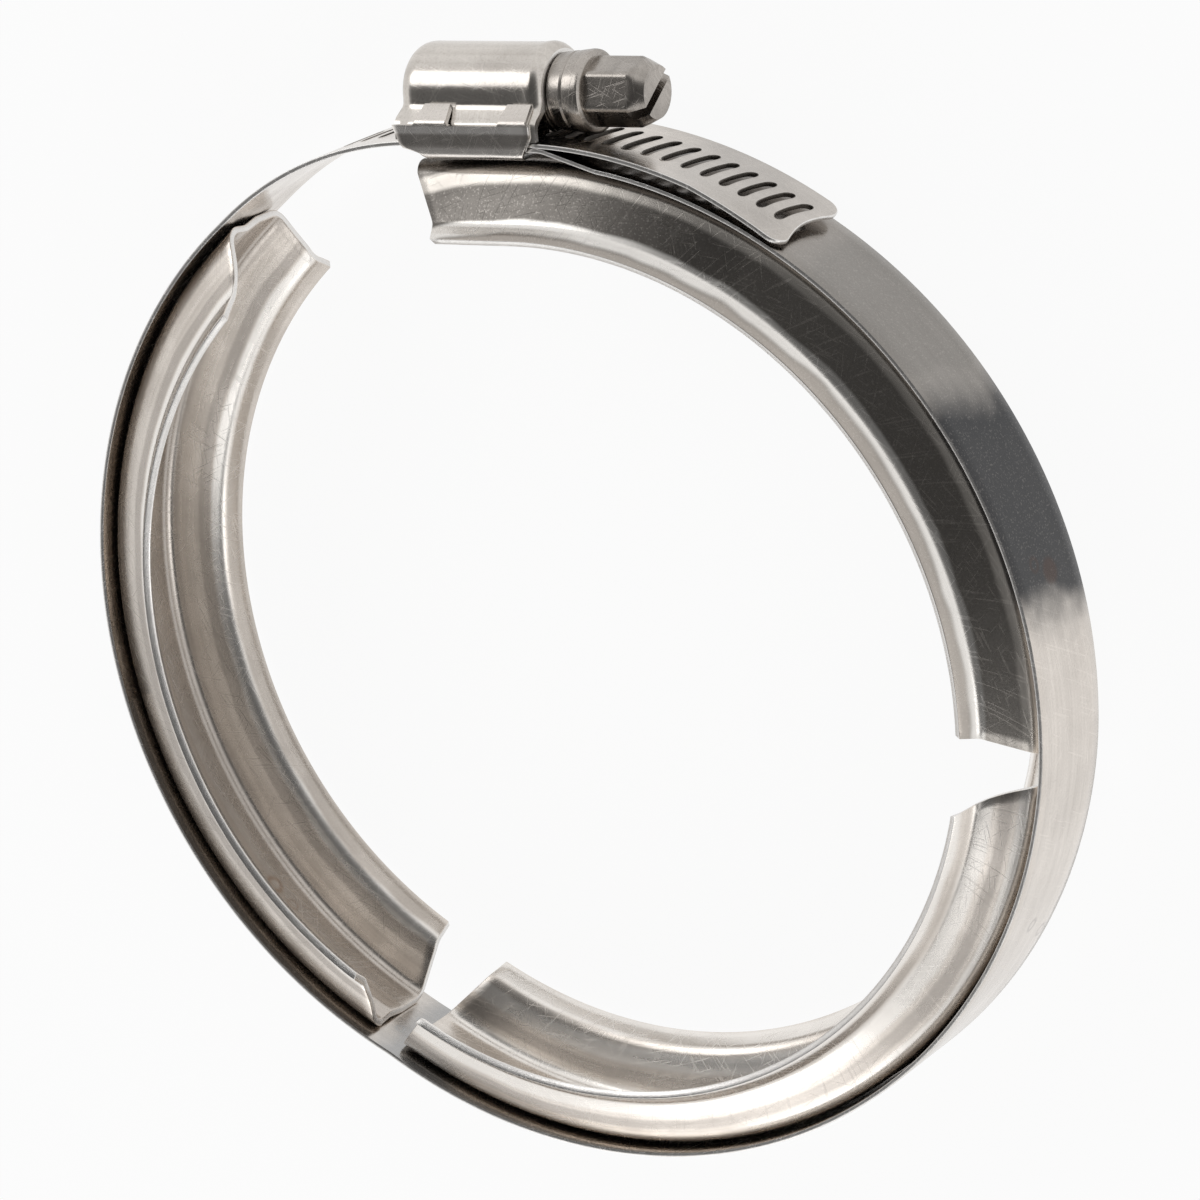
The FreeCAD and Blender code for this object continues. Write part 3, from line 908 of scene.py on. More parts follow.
class Strap:
    """Strap band: plain end, ring, free span and slotted tail."""

    def __init__(self, sizes: StrapSizes) -> None:
        """Lay the path out from the sizes.

        Args:
            sizes: Sizes of the strap.
        """
        self.sizes = sizes
        self.marks: dict[str, float] = {}
        self.centres: dict[str, np.ndarray] = {"a": np.zeros(2)}
        self.path = self._lay()

    def _lay(self) -> Path:
        """Lay the middle line of the strap.

        Returns:
            The path from the plain end to the tail.
        """
        z = self.sizes
        along, out = unit(FOOT - 90), unit(FOOT)
        path = Path(along * z.inner_end + out * z.inner_h, FOOT - 90)
        path.line(z.set_down_s - z.inner_end).arc(z.set_down_r, -z.set_down_turn)
        base = path.point + unit(path.heading + 90) * z.set_down_r
        run = base @ unit(path.heading)
        path.line(-run - math.sqrt(run ** 2 - base @ base + (z.ring_r + z.set_down_r) ** 2))
        middle = path.point + unit(path.heading + 90) * z.set_down_r
        angle = math.degrees(math.atan2(middle[1], middle[0]))
        path.arc(z.set_down_r, angle - 90 - path.heading)
        path.arc(z.ring_r, z.a_first - angle)
        path.arc(z.gap1[0] / math.radians(z.gap1[1]), -z.gap1[1])
        self._mark(path, "c")
        path.arc(z.ring_r, -z.c_span)
        self.marks["gap2"] = path.length
        path.arc(*z.gap2)
        self._mark(path, "b")
        path.arc(z.ring_r, z.b_first - (path.heading + 450))
        self.marks["b_end"] = path.length
        turn = (path.heading - FOOT + 90) % 360
        rise = (z.tail_h - path.point @ out) / math.sin(math.radians(turn))
        path.line(rise - z.free_r * math.tan(math.radians(turn / 2))).arc(z.free_r, -turn)
        return path.line(-(path.point @ along)).arc(z.tail_r, -z.tail_turn)

    def _mark(self, path: Path, name: str) -> None:
        """Keep the start and the centre of the arc that begins at the pen."""
        self.marks[name] = path.length
        self.centres[name] = path.point - unit(path.heading + 90) * self.sizes.ring_r

    def plain(self, name: str, first: float, last: float, materials: Sequence[Metal]) -> bpy.types.Object:
        """Build an unslotted stretch.

        Args:
            name: Name of the object.
            first: Distance where it starts.
            last: Distance where it ends.
            materials: Finish of the strip and of its cut edges.

        Returns:
            The stretch.
        """
        z = self.sizes
        line = [(np.array([0.0, c]), 90.0) for c in np.linspace(-z.width / 2, z.width / 2, 9)]
        loop = sheet_loop(line, z.thick / 2, z.edge)
        around = girth(loop) * UV
        rings, uv = [], []
        for d in self.path.stations(first, last):
            p, head = self.path.at(d)
            rings.append([(*(p - unit(head + 90) * lift), c) for lift, c in loop])
            uv.append([(d * UV, a) for a in around])
        data = MeshData()
        data.sheet(rings, uv, 0)
        return data.build(name, materials)

    def slotted(self, name: str, first: float, materials: Sequence[Metal]) -> bpy.types.Object:
        """Build the tail with its slots.

        Args:
            name: Name of the object.
            first: Distance where it starts.
            materials: Finish of the strip, the painted shade inside the slots, and the finish of the cut
                edges.

        Returns:
            The tail.
        """
        z = self.sizes
        h, e, mid = z.thick / 2, z.edge, z.edge * EDGE_MID
        rims = [self._outline(first, inset) for inset in (0.0, mid, e)]
        middles = [self.path.length - z.slot_start - i * PITCH for i in range(z.slot_count)]
        holes = [[self._slot(d, grow) for grow in z.slot_rims] for d in middles]
        rounds = [(2, h), (1, h - mid), (0, h - e), (0, e - h), (1, mid - h), (2, -h)]
        burrs = [(3, h), *((k, h + z.burr_top[k]) for k in (2, 1, 0)),
                 *((k, z.burr_low[k] - h) for k in (0, 1)), (2, -h), (3, -h)]
        data = MeshData()
        for loops, levels, kind in [(rims, rounds, 2)] + [(hole, burrs, 1) for hole in holes]:
            start = len(data.kinds)
            data.grid([[self._place(d, c, lift) for d, c in loops[k]] for k, lift in levels],
                      [[(d * UV, (c + lift) * UV) for d, c in loops[k]] for k, lift in levels], kind)
            if kind == 1:
                data.kinds[start:start + len(loops[0])] = [0] * len(loops[0])
        flat, faces = self._fill(rims[2], [hole[3] for hole in holes])
        for lift, flip in ((h, 1), (-h, -1)):
            base = len(data.verts)
            data.verts += [self._place(d, c, lift) for d, c in flat]
            data.uvs += [(d * UV, c * UV) for d, c in flat]
            for face in faces:
                data.fan([base + k for k in face[::flip]])
        return data.build(name, materials)

    def _place(self, d: float, c: float, lift: float) -> Triple:
        """Put a point of the flat tail on the path.

        Args:
            d: Distance along the strip.
            c: Distance across it from its middle.
            lift: Height over its middle plane.

        Returns:
            The point in mm.
        """
        reach, width, start = self.sizes.curl_reach
        near = max(0.0, 1 - (self.path.length - d) / reach) ** 0.8
        drop = self.sizes.curl * near * max(0.0, (c - start) / width) ** 1.6
        p, head = self.path.at(d)
        q = p + unit(head + 90) * (lift - drop)
        return (q[0], q[1], c)

    def _outline(self, first: float, inset: float) -> list[Point]:
        """Give the outline of the tail with rounded corners.

        Args:
            first: Distance where the tail starts.
            inset: How far the outline is drawn in.

        Returns:
            Distances along and across the strip.
        """
        z = self.sizes
        half = z.width / 2 - inset
        end = self.path.length - inset
        radius = z.corner - inset
        count = math.ceil((end - radius - first) / 1.2)
        side = [first + (end - radius - first) * i / count for i in range(count + 1)]
        corner = [(radius * (math.cos(a) - 1), radius * (math.sin(a) + 1))
                  for a in (math.radians(11.25 * i - 90) for i in range(1, 8))]
        found = [(d, -half) for d in side]
        found += [(end + back, up - half) for back, up in corner]
        middle, reach = z.hollow_mid
        found += [(end - z.hollow * max(0.0, 1 - ((c - middle) / reach) ** 2), float(c))
                  for c in np.linspace(radius - half, half - radius, 15)]
        found += [(end + back, half - up) for back, up in corner[::-1]]
        found += [(d, half) for d in side[::-1]]
        found += [(first, float(c)) for c in np.linspace(half, -half, 13)[1:-1]]
        return found

    def _slot(self, middle: float, grow: float) -> list[Point]:
        """Give the outline of a slanted, slightly arched slot.

        Args:
            middle: Distance of its middle along the strip.
            grow: Margin round the slot.

        Returns:
            Distances along and across the strip.
        """
        z = self.sizes
        half, end = z.slot_w / 2 + grow, z.slot_l / 2 + grow
        right, across = unit(z.slot_slant)
        side = z.slot_points // 2
        found = []
        for i in range(z.slot_points):
            a = math.pi * (i % side) / side
            sign = 1 if i < side else -1
            c = end * math.cos(a) * sign
            d = half * min(1.0, math.sin(a) * 1.6) * sign + z.slot_arch * ((c / end) ** 2 - 0.4)
            found.append((middle + d * right + c * across, c * right - d * across))
        return found

    def _fill(self, outer: Sequence[Point], holes: Sequence[Sequence[Point]]) -> tuple[list[Point], list]:
        """Triangulate the strip face between its outline and the slots.

        Args:
            outer: Outline.
            holes: Outlines of the slots.

        Returns:
            The points and the faces.
        """
        points, edges = [], []
        for ring in (outer, *holes):
            base, n = len(points), len(ring)
            points += [Vector(p) for p in ring]
            edges += [(base + i, base + (i + 1) % n) for i in range(n)]
        low, high = min(p[0] for p in outer), max(p[0] for p in outer)
        half = max(p[1] for p in outer)
        margin, clear = 1.1, 0.35
        for d in np.arange(low + 1.2, high - 1.9, 1.3):
            for c in np.linspace(margin - half, half - margin, 9):
                corner = d > high - 2.6 and abs(c) > half - self.sizes.corner
                if not corner and not any(inside((d, c), hole, clear) for hole in holes):
                    points.append(Vector((d, c)))
        made = delaunay_2d_cdt(points, edges, [], 0, 1e-6)
        flat = [(p.x, p.y) for p in made[0]]
        faces = []
        for face in made[2]:
            centre = tuple(sum(flat[k][i] for k in face) / len(face) for i in (0, 1))
            if inside(centre, outer) and not any(inside(centre, hole) for hole in holes):
                faces.append(tuple(face))
        return flat, faces


# Retainers


@dataclass
class RetainerSizes:
    """Cross-section of the rolled retainers, in mm, and the cut of their ends.

    Attributes:
        line: Corners of the middle line of the sheet, radius and height.
        radii: Radius of each bend.
        slant: Set-back of an end at the lip.
        trim_low: Height above which the trims of the front corners count.
        fade: Length over which the set-back of an end fades out.
    """

    outer_r: float = 67.1
    thick: float = 1.0
    line: Curve = ((57.75, 11.25), (59.3, 8.8), (66.6, 5.6), (66.1, 2.2),
                   (66.6, -0.8), (66.6, -5.6), (59.3, -8.8), (57.75, -11.25))
    radii: tuple[float, ...] = (2.2, 2.3, 3.0, 3.0, 2.3, 2.2)
    lip_r: float = 57.4
    slant: float = 2.76
    edge: float = 0.16
    trim_low: float = 4.5
    fade: float = 14.0


@dataclass
class End:
    """Cut end of a retainer.

    Attributes:
        trim: Extra set-back over the radius.
        all_z: Whether the trim counts for both sides or for the front alone.
    """

    trim: Curve = ()
    all_z: bool = False

    def back(self, sizes: RetainerSizes, radius: float, z: float) -> float:
        """Give the set-back of one point of the section.

        Args:
            sizes: Sizes of the section.
            radius: Radius of the point.
            z: Height of the point.

        Returns:
            The set-back in mm.
        """
        found = sizes.slant * (sizes.outer_r - radius) / (sizes.outer_r - sizes.lip_r)
        if self.trim and (self.all_z or z > sizes.trim_low):
            found += read_curve(self.trim, radius)
        return found


@dataclass
class Retainer:
    """One rolled retainer: an arc, with a straight run after it where run is above 0.

    Attributes:
        name: Name of the object.
        centre: Centre of the arc in mm.
        first: First angle in degrees.
        last: Last angle in degrees.
        ends: Cut at the first and at the last angle.
        run: Straight length after the last angle.
        sizes: Sizes of the section.
    """

    name: str
    centre: np.ndarray
    first: float
    last: float
    ends: tuple[End, End]
    run: float = 0.0
    sizes: RetainerSizes = field(default_factory=RetainerSizes)

    def build(self, steel: Steel, edge: Metal) -> bpy.types.Object:
        """Build and dress the retainer.

        Args:
            steel: Finish of the rolled faces.
            edge: Finish of the cut ends and lip edges.

        Returns:
            The retainer.
        """
        z = self.sizes
        line = divided(rounded(z.line, z.radii, 9.0), 1.2)
        around = girth(sheet_loop(line, z.thick / 2, z.edge)) * UV
        total = math.radians(self.last - self.first) * z.outer_r + self.run
        count = math.ceil(total / 1.9)
        ends = (z.edge, z.edge * EDGE_MID)
        cuts = [(0.0, ends[0]), (ends[1], ends[1]), (ends[0], 0.0)]
        cuts += [(total * i / count, 0.0) for i in range(1, count)]
        cuts += [(total - s, inset) for s, inset in cuts[2::-1]]
        rings = [[self._point(s, total, r, c) for r, c in self._section(line, inset)] for s, inset in cuts]
        data = MeshData()
        data.sheet(rings, [[(s * UV, a) for a in around] for s, _ in cuts], 1)
        place = (float(self.centre[0]), float(self.centre[1]))
        return data.build(self.name, [replace(steel, centre=place).make(), edge])

    def _section(self, line: Line, inset: float) -> np.ndarray:
        """Give the section loop, drawn in all round at a cut end.

        Args:
            line: Middle line of the sheet.
            inset: How far the loop is drawn in.

        Returns:
            The loop.
        """
        (first, head), *middle, (last, tail) = line
        drawn = [(first + unit(head) * inset, head), *middle, (last - unit(tail) * inset, tail)]
        return sheet_loop(drawn, self.sizes.thick / 2 - inset, max(self.sizes.edge - inset, 0.02))

    def _point(self, s: float, total: float, radius: float, c: float) -> Triple:
        """Put a section point at a distance along the retainer, with the ends set back.

        Args:
            s: Distance along the retainer.
            total: Length of the retainer.
            radius: Radius of the point.
            c: Height of the point.

        Returns:
            The point in mm.
        """
        low, high = (end.back(self.sizes, radius, c) * max(0.0, 1 - away / self.sizes.fade)
                     for end, away in zip(self.ends, (s, total - s)))
        ahead = s - (total - self.run)
        if self.run and ahead > 0:
            p = self.centre + unit(self.last) * radius + unit(self.last + 90) * (ahead - high)
        else:
            cut = math.asin(low / radius) - (0 if self.run else math.asin(high / radius))
            p = self.centre + unit(self.first + math.degrees(s / self.sizes.outer_r + cut)) * radius
        return (p[0], p[1], c)


A_LEFT = End(((54.4, 2.9), (65.5, 0.0), (70.1, -0.1)), True)
B_TOP = End(((54.4, 2.7), (58.6, 2.3), (59.8, 1.2), (61.2, 0.3), (63.0, 0.05), (65.4, 0.0), (70.1, -0.5)))
B_LOW = End(((54.4, 1.0), (59.8, 0.7), (61.0, 0.3), (62.6, 0.0), (65.0, 0.0), (70.1, -0.5)))
C_TOP = End(((54.4, 2.2), (58.2, 1.8), (59.6, 1.0), (61.4, 0.3), (63.4, 0.0), (70.1, -0.5)))


# Screw housing


def put(s: float, height: float, z: float) -> Triple:
    """Turn along the screw, outward from the ring axis and across it into the frame, in mm."""
    p = unit(FOOT - 90) * s + unit(FOOT) * height
    return (float(p[0]), float(p[1]), z)


@dataclass
class HousingSizes:
    """Sizes of the screw housing in mm, heights above the ring axis.

    Attributes:
        left_round: Radius of the left end of the sleeve.
        left_run: Length of that end.
        straight: First and last place of the straight sleeve.
        right_round: How far the right end draws in.
        bell: Right end: place, change of the radius and outward swing of the rim.
        taper: Left end of the rim: where it widens, over which length and by how much.
        shoulder: Points of the shoulder: across, up, and how much lower the inner skin is, as a share.
        neck: Points between the shoulder and the sleeve, in the same way.
        disc_edge: How far the end walls reach into the sleeve.
        bevel: Bevel of the round holes.
    """

    outer_r: float = 6.2
    thick: float = 0.7
    left: float = -17.5
    right: float = 3.8
    left_round: float = 2.0
    left_run: float = 2.4
    straight: Point = (-14.5, 0.4)
    right_round: float = 0.8
    rim_low: float = 70.05
    shoulder_top: float = 74.0
    pilot_r: float = 2.3
    neck_r: float = 4.5
    bell: tuple[Triple, ...] = ((1.1, 0.0, 0.03), (1.7, 0.07, 0.14), (2.3, 0.12, 0.28), (2.8, 0.02, 0.36),
                                (3.2, -0.2, 0.34), (3.5, -0.45, 0.22))
    taper: Triple = (-15.2, 1.4, 0.5)
    shoulder: tuple[Triple, ...] = ((0.0, -0.75, 0.3), (-0.08, -0.3, 0.45),
                                    (-0.32, 0.12, 0.6), (-0.7, 0.5, 0.6))
    neck: tuple[Triple, ...] = ((0.42, -0.25, 0.55), (0.14, 0.12, 0.5))
    disc_edge: float = 0.02
    bevel: float = 0.15


@dataclass
class Housing:
    """Pressed sleeve over the screw with sloping shoulders and side rims."""

    sizes: HousingSizes = field(default_factory=HousingSizes)

    def build(self, material: Metal, edge: Metal) -> bpy.types.Object:
        """Build the sheet as an outer and an inner skin joined at the rims.

        Args:
            material: Finish of the pressed faces.
            edge: Finish of the cut edges.

        Returns:
            The housing.
        """
        z = self.sizes
        rings = [self._row(*cut, 0.0) + self._row(*cut, z.thick)[::-1] for cut in self._stations()]
        size = len(rings[0])
        data = MeshData()
        data.grid([[put(*q) for q in ring] for ring in rings],
                  [[(ring[0][0] * UV, j * 0.05) for j in range(size)] for ring in rings])
        data.paint(size, len(rings), (size // 2 - 1, size - 1))
        data.caps(0, size, len(rings), 1)
        self._disc(data, z.left + z.disc_edge, z.left_round, z.pilot_r, 1)
        self._disc(data, z.right - z.disc_edge, z.right_round, z.neck_r, -1)
        return data.build("screw_housing", [material, edge], 50)

    def _stations(self) -> list[Triple]:
        """List the stations: distance, sleeve radius and outward swing of the rim.

        Returns:
            The stations from left to right.
        """
        z = self.sizes
        start = z.outer_r - z.left_round
        found = [(z.left + z.left_run * (1 - q[0]), start + z.left_round * q[1], 0.0)
                 for q in (unit(11.25 * i) for i in range(1, 9))]
        found += [(float(s), z.outer_r, 0.0) for s in np.linspace(*z.straight, 14)]
        bell = (*z.bell, (z.right, -z.right_round, 0.0))
        found += [(s, z.outer_r + more, swing) for s, more, swing in bell]
        return found

    def _row(self, s: float, radius: float, swing: float, inset: float) -> list[Triple]:
        """Give the section of one skin, from the front rim over the top to the back rim.

        Args:
            s: Distance along the screw.
            radius: Outer radius of the sleeve there.
            swing: Outward swing of the rim.
            inset: How far the skin lies inside the outer one.

        Returns:
            Points along, outward and across.
        """
        z = self.sizes
        start, length, more = z.taper
        narrow = more * max(0.0, min(1.0, (start - s) / length))
        rim = RIM_Z + z.thick / 2 - inset + swing - narrow
        r = radius - inset
        side = [(rim, z.rim_low)]
        side += [(rim + across, SHOULDER_LOW + up - inset * share) for across, up, share in z.shoulder]
        side += [(r + across, z.shoulder_top + up - inset * share) for across, up, share in z.neck]
        side.append((r + 0.02, AXIS_H - 0.35))
        arch = [(r * q[0], AXIS_H + r * q[1]) for q in (unit(a) for a in range(0, 181, 6))]
        return [(s, h, c) for c, h in (*side, *arch, *((-c, h) for c, h in side[::-1]))]

    def _disc(self, data: MeshData, s: float, drawn: float, hole: float, side: int) -> None:
        """Close an end of the sleeve with a wall that leaves the round hole.

        Args:
            data: Mesh to add to.
            s: Outer face of the wall.
            drawn: How far the sleeve is drawn in there.
            hole: Radius of the hole.
            side: 1 on the left end and -1 on the right one.
        """
        z = self.sizes
        outer, bevel = z.outer_r - drawn + z.disc_edge, z.bevel
        rings = []
        for lift, r in ((0.0, outer - 0.3), (0.0, outer), (z.thick, outer), (z.thick, hole + bevel),
                        (z.thick - bevel, hole), (bevel, hole), (0.0, hole + bevel), (0.0, outer - 0.3)):
            floor = z.rim_low + (0.3 if r <= hole + 0.2 else 0.2)
            rings.append([put(s + lift * side, max(AXIS_H + r * q[1], floor), r * q[0])
                          for q in (unit(7.5 * i) for i in range(48))])
        data.grid(rings, [[(a * UV, i * 0.07) for a in range(48)] for i in range(len(rings))])


# Saddle


@dataclass
class SaddleSizes:
    """Sizes of the saddle in mm.

    Attributes:
        half: Half the width of the channel, to the middle of the sheet.
        slope: Direction of the tabs, across and up.
        offset: Distance of the tabs' middle from the shoulder.
        body: Left and right limit of the channel over the height.
        left_tab: The same of the left tabs.
        right_tab: The same of the right tabs.
    """

    thick: float = 0.8
    half: float = 8.6375
    low: float = 68.2
    tip_z: float = 6.65
    slope: Point = (-0.7343, 0.6788)
    offset: float = 0.8
    bend: float = 0.6
    edge: float = 0.12
    wall_top: float = 72.25
    body: tuple[Curve, Curve] = (((68.3, -12.5), (68.7, -13.2), (69.4, -15.9), (72.25, -16.9)),
                                 ((68.2, 2.0), (70.6, 3.4), (72.25, 3.4)))
    left_tab: tuple[Curve, Curve] = (((72.25, -13.9), (72.5, -13.55), (76.0, -12.3)),
                                     ((72.25, -8.5), (72.5, -8.76), (76.0, -9.2)))
    right_tab: tuple[Curve, Curve] = (((72.25, -1.3), (72.5, -1.05), (76.0, -0.1)),
                                      ((72.25, 3.4), (72.5, 3.1), (76.0, 2.9)))


@dataclass
class Saddle:
    """Channel under the strap with four tabs folded over the shoulders of the housing."""

    sizes: SaddleSizes = field(default_factory=SaddleSizes)

    def build(self, material: Metal, edge: Metal) -> bpy.types.Object:
        """Build the folded sheet.

        Args:
            material: Finish of the faces.
            edge: Finish of the cut edges.

        Returns:
            The saddle.
        """
        z = self.sizes
        dz, dh = z.slope
        rise = dh / dz
        start = SHOULDER_LOW - dz * z.offset - (RIM_Z + dh * z.offset) * rise
        tip, fold = start + z.tip_z * rise, start + z.half * rise
        side = ((z.tip_z, tip), (z.half, fold), (z.half, z.low))
        line = divided(rounded((*side, *((-c, h) for c, h in side[::-1])), (z.bend,) * 4), 0.5)
        wall = next(i for i, (p, _) in enumerate(line) if p[1] < z.wall_top)
        data = MeshData()
        self._plate(data, line[wall:len(line) - wall], z.body)
        for half in (line[:wall + 1], line[len(line) - wall - 1:]):
            self._plate(data, half, z.left_tab)
            self._plate(data, half, z.right_tab)
        return data.build("saddle_clip", [material, edge], 40)

    def _plate(self, data: MeshData, strip: Line, limits: tuple[Curve, Curve]) -> None:
        """Add one strip of sheet between limits along the screw.

        Args:
            data: Mesh to add to.
            strip: Section points with headings.
            limits: Left and right limit over the height.
        """
        e, h = self.sizes.edge, self.sizes.thick / 2
        mid = e * EDGE_MID
        last = len(strip) - 1
        rings, uv = [], []
        for i, (p, head) in enumerate(strip):
            out = unit(head + 90) * (1.0 if 0 < i < last else 0.999)
            low, high = (read_curve(curve, float(p[1])) for curve in limits)
            cells = [low + (high - low) * share for share in np.linspace(0.04, 0.96, 7)]
            half = [(low, h - e), (low + mid, h - mid), (low + e, h), *((s, h) for s in cells),
                    (high - e, h), (high - mid, h - mid), (high, h - e)]
            ring = half + [(s, -lift) for s, lift in half[::-1]]
            rings.append([put(s, p[1] + out[1] * lift, p[0] + out[0] * lift) for s, lift in ring])
            uv.append([((s + lift) * UV, i * 0.05) for s, lift in ring])
        size = len(rings[0])
        base = data.grid(rings, uv)
        data.paint(size, len(rings), (12, 13, size - 1))
        for first in (base, base + last * size):
            data.fan(range(first, first + size), 1)


# Worm screw


@dataclass
class ScrewSizes:
    """Sizes of the worm screw in mm and degrees, lengths along it from the foot of its axis.

    Attributes:
        pilot: Left end and radius of the pilot.
        crest: Width of the thread's crest.
        foot: Width of the thread's foot.
        start: Where the thread starts.
        hex_af: Width across the flats.
        slot: Width and depth of the drive slot.
        slot_turn: Direction of the drive slot, from outward towards +Z.
    """

    pilot: Point = (-19.3, 2.2)
    core_left: float = -15.6
    root: float = 4.2
    crest_r: float = 5.35
    crest: float = 0.7
    foot: float = 1.3
    turns: int = 4
    start: float = -10.805
    neck_r: float = 4.4
    collar: Point = (4.0, 9.0)
    collar_r: Point = (4.95, 5.45)
    hex_af: float = 8.0
    hex_turn: float = 12.0
    hex_wear: float = 0.18
    hex_right: float = 15.2
    tip_right: float = 17.4
    tip_r: float = 3.4
    slot: Point = (1.3, 2.4)
    slot_turn: float = 123.0


@dataclass
class WormScrew:
    """Worm screw with a pilot, a thread, a collar and a slotted hexagon head."""

    sizes: ScrewSizes = field(default_factory=ScrewSizes)

    def build(self, material: Metal, dark: Metal) -> bpy.types.Object:
        """Build the screw.

        Args:
            material: Finish of the screw.
            dark: Dark colour inside the drive slot, painted shade.

        Returns:
            The screw.
        """
        data = MeshData()
        self._turned(data)
        self._thread(data)
        self._head(data)
        return data.build("drive_screw", [material, dark], 32)

    def _put(self, s: float, r: float, angle: float) -> Triple:
        """Place a point by distance, radius and angle from outward towards +Z."""
        rad = math.radians(angle)
        return put(s, AXIS_H + r * math.cos(rad), r * math.sin(rad))

    def _turned(self, data: MeshData) -> None:
        """Add the turned body: pilot, core, neck and collar.

        Args:
            data: Mesh to add to.
        """
        z = self.sizes
        (left, thin), core, (c0, c1), (small, big) = z.pilot, z.core_left, z.collar, z.collar_r
        profile = [(left, 0.01), (left, 1.5), (left + 0.25, 2.05), (left + 0.6, thin), (core, thin),
                   (core, z.root - 0.2), (core + 0.2, z.root), (c0 - 1.2, z.root), (c0 - 1.2, z.neck_r),
                   (c0 + 0.02, z.neck_r), (c0 + 0.02, small - 0.25), (c0 + 0.1, small - 0.06),
                   (c0 + 0.35, small), (c0 + 1.9, small + 0.18), (c0 + 2.15, small + 0.02),
                   (c0 + 2.35, small + 0.2), (c1 - 0.7, big - 0.05), (c1 - 0.3, big - 0.12),
                   (c1 - 0.08, big - 0.35), (c1, big - 0.7), (c1, 3.0)]
        angles = [5.625 * i for i in range(64)]
        data.grid([[self._put(s, r * self._worn(s, r, a), a) for a in angles] for s, r in profile],
                  [[(a / 360 * 3.2, (s + r) * UV) for a in angles] for s, r in profile])

    def _worn(self, s: float, r: float, angle: float) -> float:
        """Give the slight forging unevenness of the collar.

        Args:
            s: Distance along the screw.
            r: Radius.
            angle: Angle round the screw in degrees.

        Returns:
            Factor on the radius.
        """
        if s < self.sizes.collar[0] + 1 or r < 3.5:
            return 1.0
        around = unit(angle) * 1.6
        return 1.0 - 0.012 * (0.5 + 0.5 * noise.noise(Vector((s * 0.35, *around))))

    def _thread(self, data: MeshData) -> None:
        """Add the worm thread as a closed helical ridge.

        Args:
            data: Mesh to add to.
        """
        z = self.sizes
        steps = z.turns * 40
        half = [(z.root - 0.15, z.foot / 2), (z.crest_r - 0.12, z.crest / 2 + 0.03),
                (z.crest_r, z.crest / 2 - 0.1)]
        section = [(r, -ds) for r, ds in half] + half[::-1]
        turns = [9.0 * i for i in range(steps + 1)]
        base = data.grid([[self._put(z.start + PITCH * a / 360 + ds, r, 180 - a) for r, ds in section]
                          for a in turns],
                         [[(a / 100, (r + ds) * UV) for r, ds in section] for a in turns])
        size = len(section)
        for first in (base, base + steps * size):
            data.fan(range(first, first + size))

    def _hex(self, angle: float, s: float) -> float:
        """Give the radius of the worn hexagon.

        Args:
            angle: Angle round the screw in degrees.
            s: Distance along the screw.

        Returns:
            The radius in mm.
        """
        z = self.sizes
        local = (angle + z.hex_turn + 30) % 60 - 30
        plain = z.hex_af / 2 / math.cos(math.radians(30 - abs(local)))
        corner = z.hex_af / 2 / math.cos(math.radians(30)) - z.hex_wear
        radius = min(plain, corner + 0.03 * math.cos(math.radians(6 * local)))
        if s > z.hex_right:
            share = (s - z.hex_right) / (z.tip_right - z.hex_right)
            radius = min(radius, corner + (z.tip_r - corner) * share)
        return radius

    def _head(self, data: MeshData) -> None:
        """Add the hexagon head with its drive slot.

        Args:
            data: Mesh to add to.
        """
        z = self.sizes
        base_s = z.collar[1] - 0.1
        floor = z.tip_right - z.slot[1]
        angles = range(0, 360, 3)
        shaft = (base_s, base_s + 0.4, 10.4, 12.0, 13.6, floor)
        data.grid([[self._put(s, self._hex(a, s), a) for a in angles] for s in shaft],
                  [[(a / 90, s * UV) for a in angles] for s in shaft])
        cone = (floor, z.hex_right, 15.8, 16.4, 16.9, 17.2, z.tip_right)
        for side in (1, -1):
            rings = [self._half_ring(s, side) for s in cone]
            size = len(rings[0])
            base = data.grid(rings, [[(k * 0.02, s * UV) for k in range(size)] for s in cone])
            first = base + (len(cone) - 1) * size
            data.fan(range(first, first + size))
        base = len(data.verts)
        data.verts += [self._put(floor, self._hex(a, floor), a) for a in self._slot_angles(1, 80)]
        data.uvs += [(0.1 * k, 0.0) for k in range(80)]
        data.fan(range(base, base + 80), 1)

    def _slot_angles(self, side: int, count: int) -> list[float]:
        """List angles round the screw from the drive slot on, to one side of it."""
        return [self.sizes.slot_turn + 4.5 * k * side for k in range(count)]

    def _half_ring(self, s: float, side: int) -> list[Triple]:
        """Give the outline of one half of the slotted end.

        Args:
            s: Distance along the screw.
            side: Side of the slot, 1 or -1.

        Returns:
            The points.
        """
        half, turn = self.sizes.slot[0] / 2, self.sizes.slot_turn
        found = []
        for angle in self._slot_angles(side, 41):
            u, v = unit(angle - turn)[::-1] * self._hex(angle, s)
            u = max(u * side, half) * side
            found.append(self._put(s, math.hypot(u, v), turn + math.degrees(math.atan2(u, v))))
        return found


# Stage


@dataclass(frozen=True)
class Lamp:
    """Area lamp that faces the ring.

    Attributes:
        name: Name of the lamp.
        place: Place in mm.
        size: Width in metres.
        power: Power in watts.
    """

    name: str
    place: Triple
    size: float
    power: float

    def build(self) -> None:
        """Add the lamp."""
        data = bpy.data.lights.new(self.name, "AREA")
        data.shape = "DISK"
        data.size = self.size
        data.energy = self.power
        obj = placed(self.name, data)
        obj.location = Vector(self.place) * MM
        obj.rotation_euler = (-obj.location).to_track_quat("-Z", "Y").to_euler()


LAMPS = (Lamp("key", (-500, 400, 480), 0.4, 0.75), Lamp("side", (640, -260, 420), 0.3, 0.35),
         Lamp("fill", (-150, -670, 410), 0.5, 0.6), Lamp("back", (160, -430, 640), 0.34, 0.35))


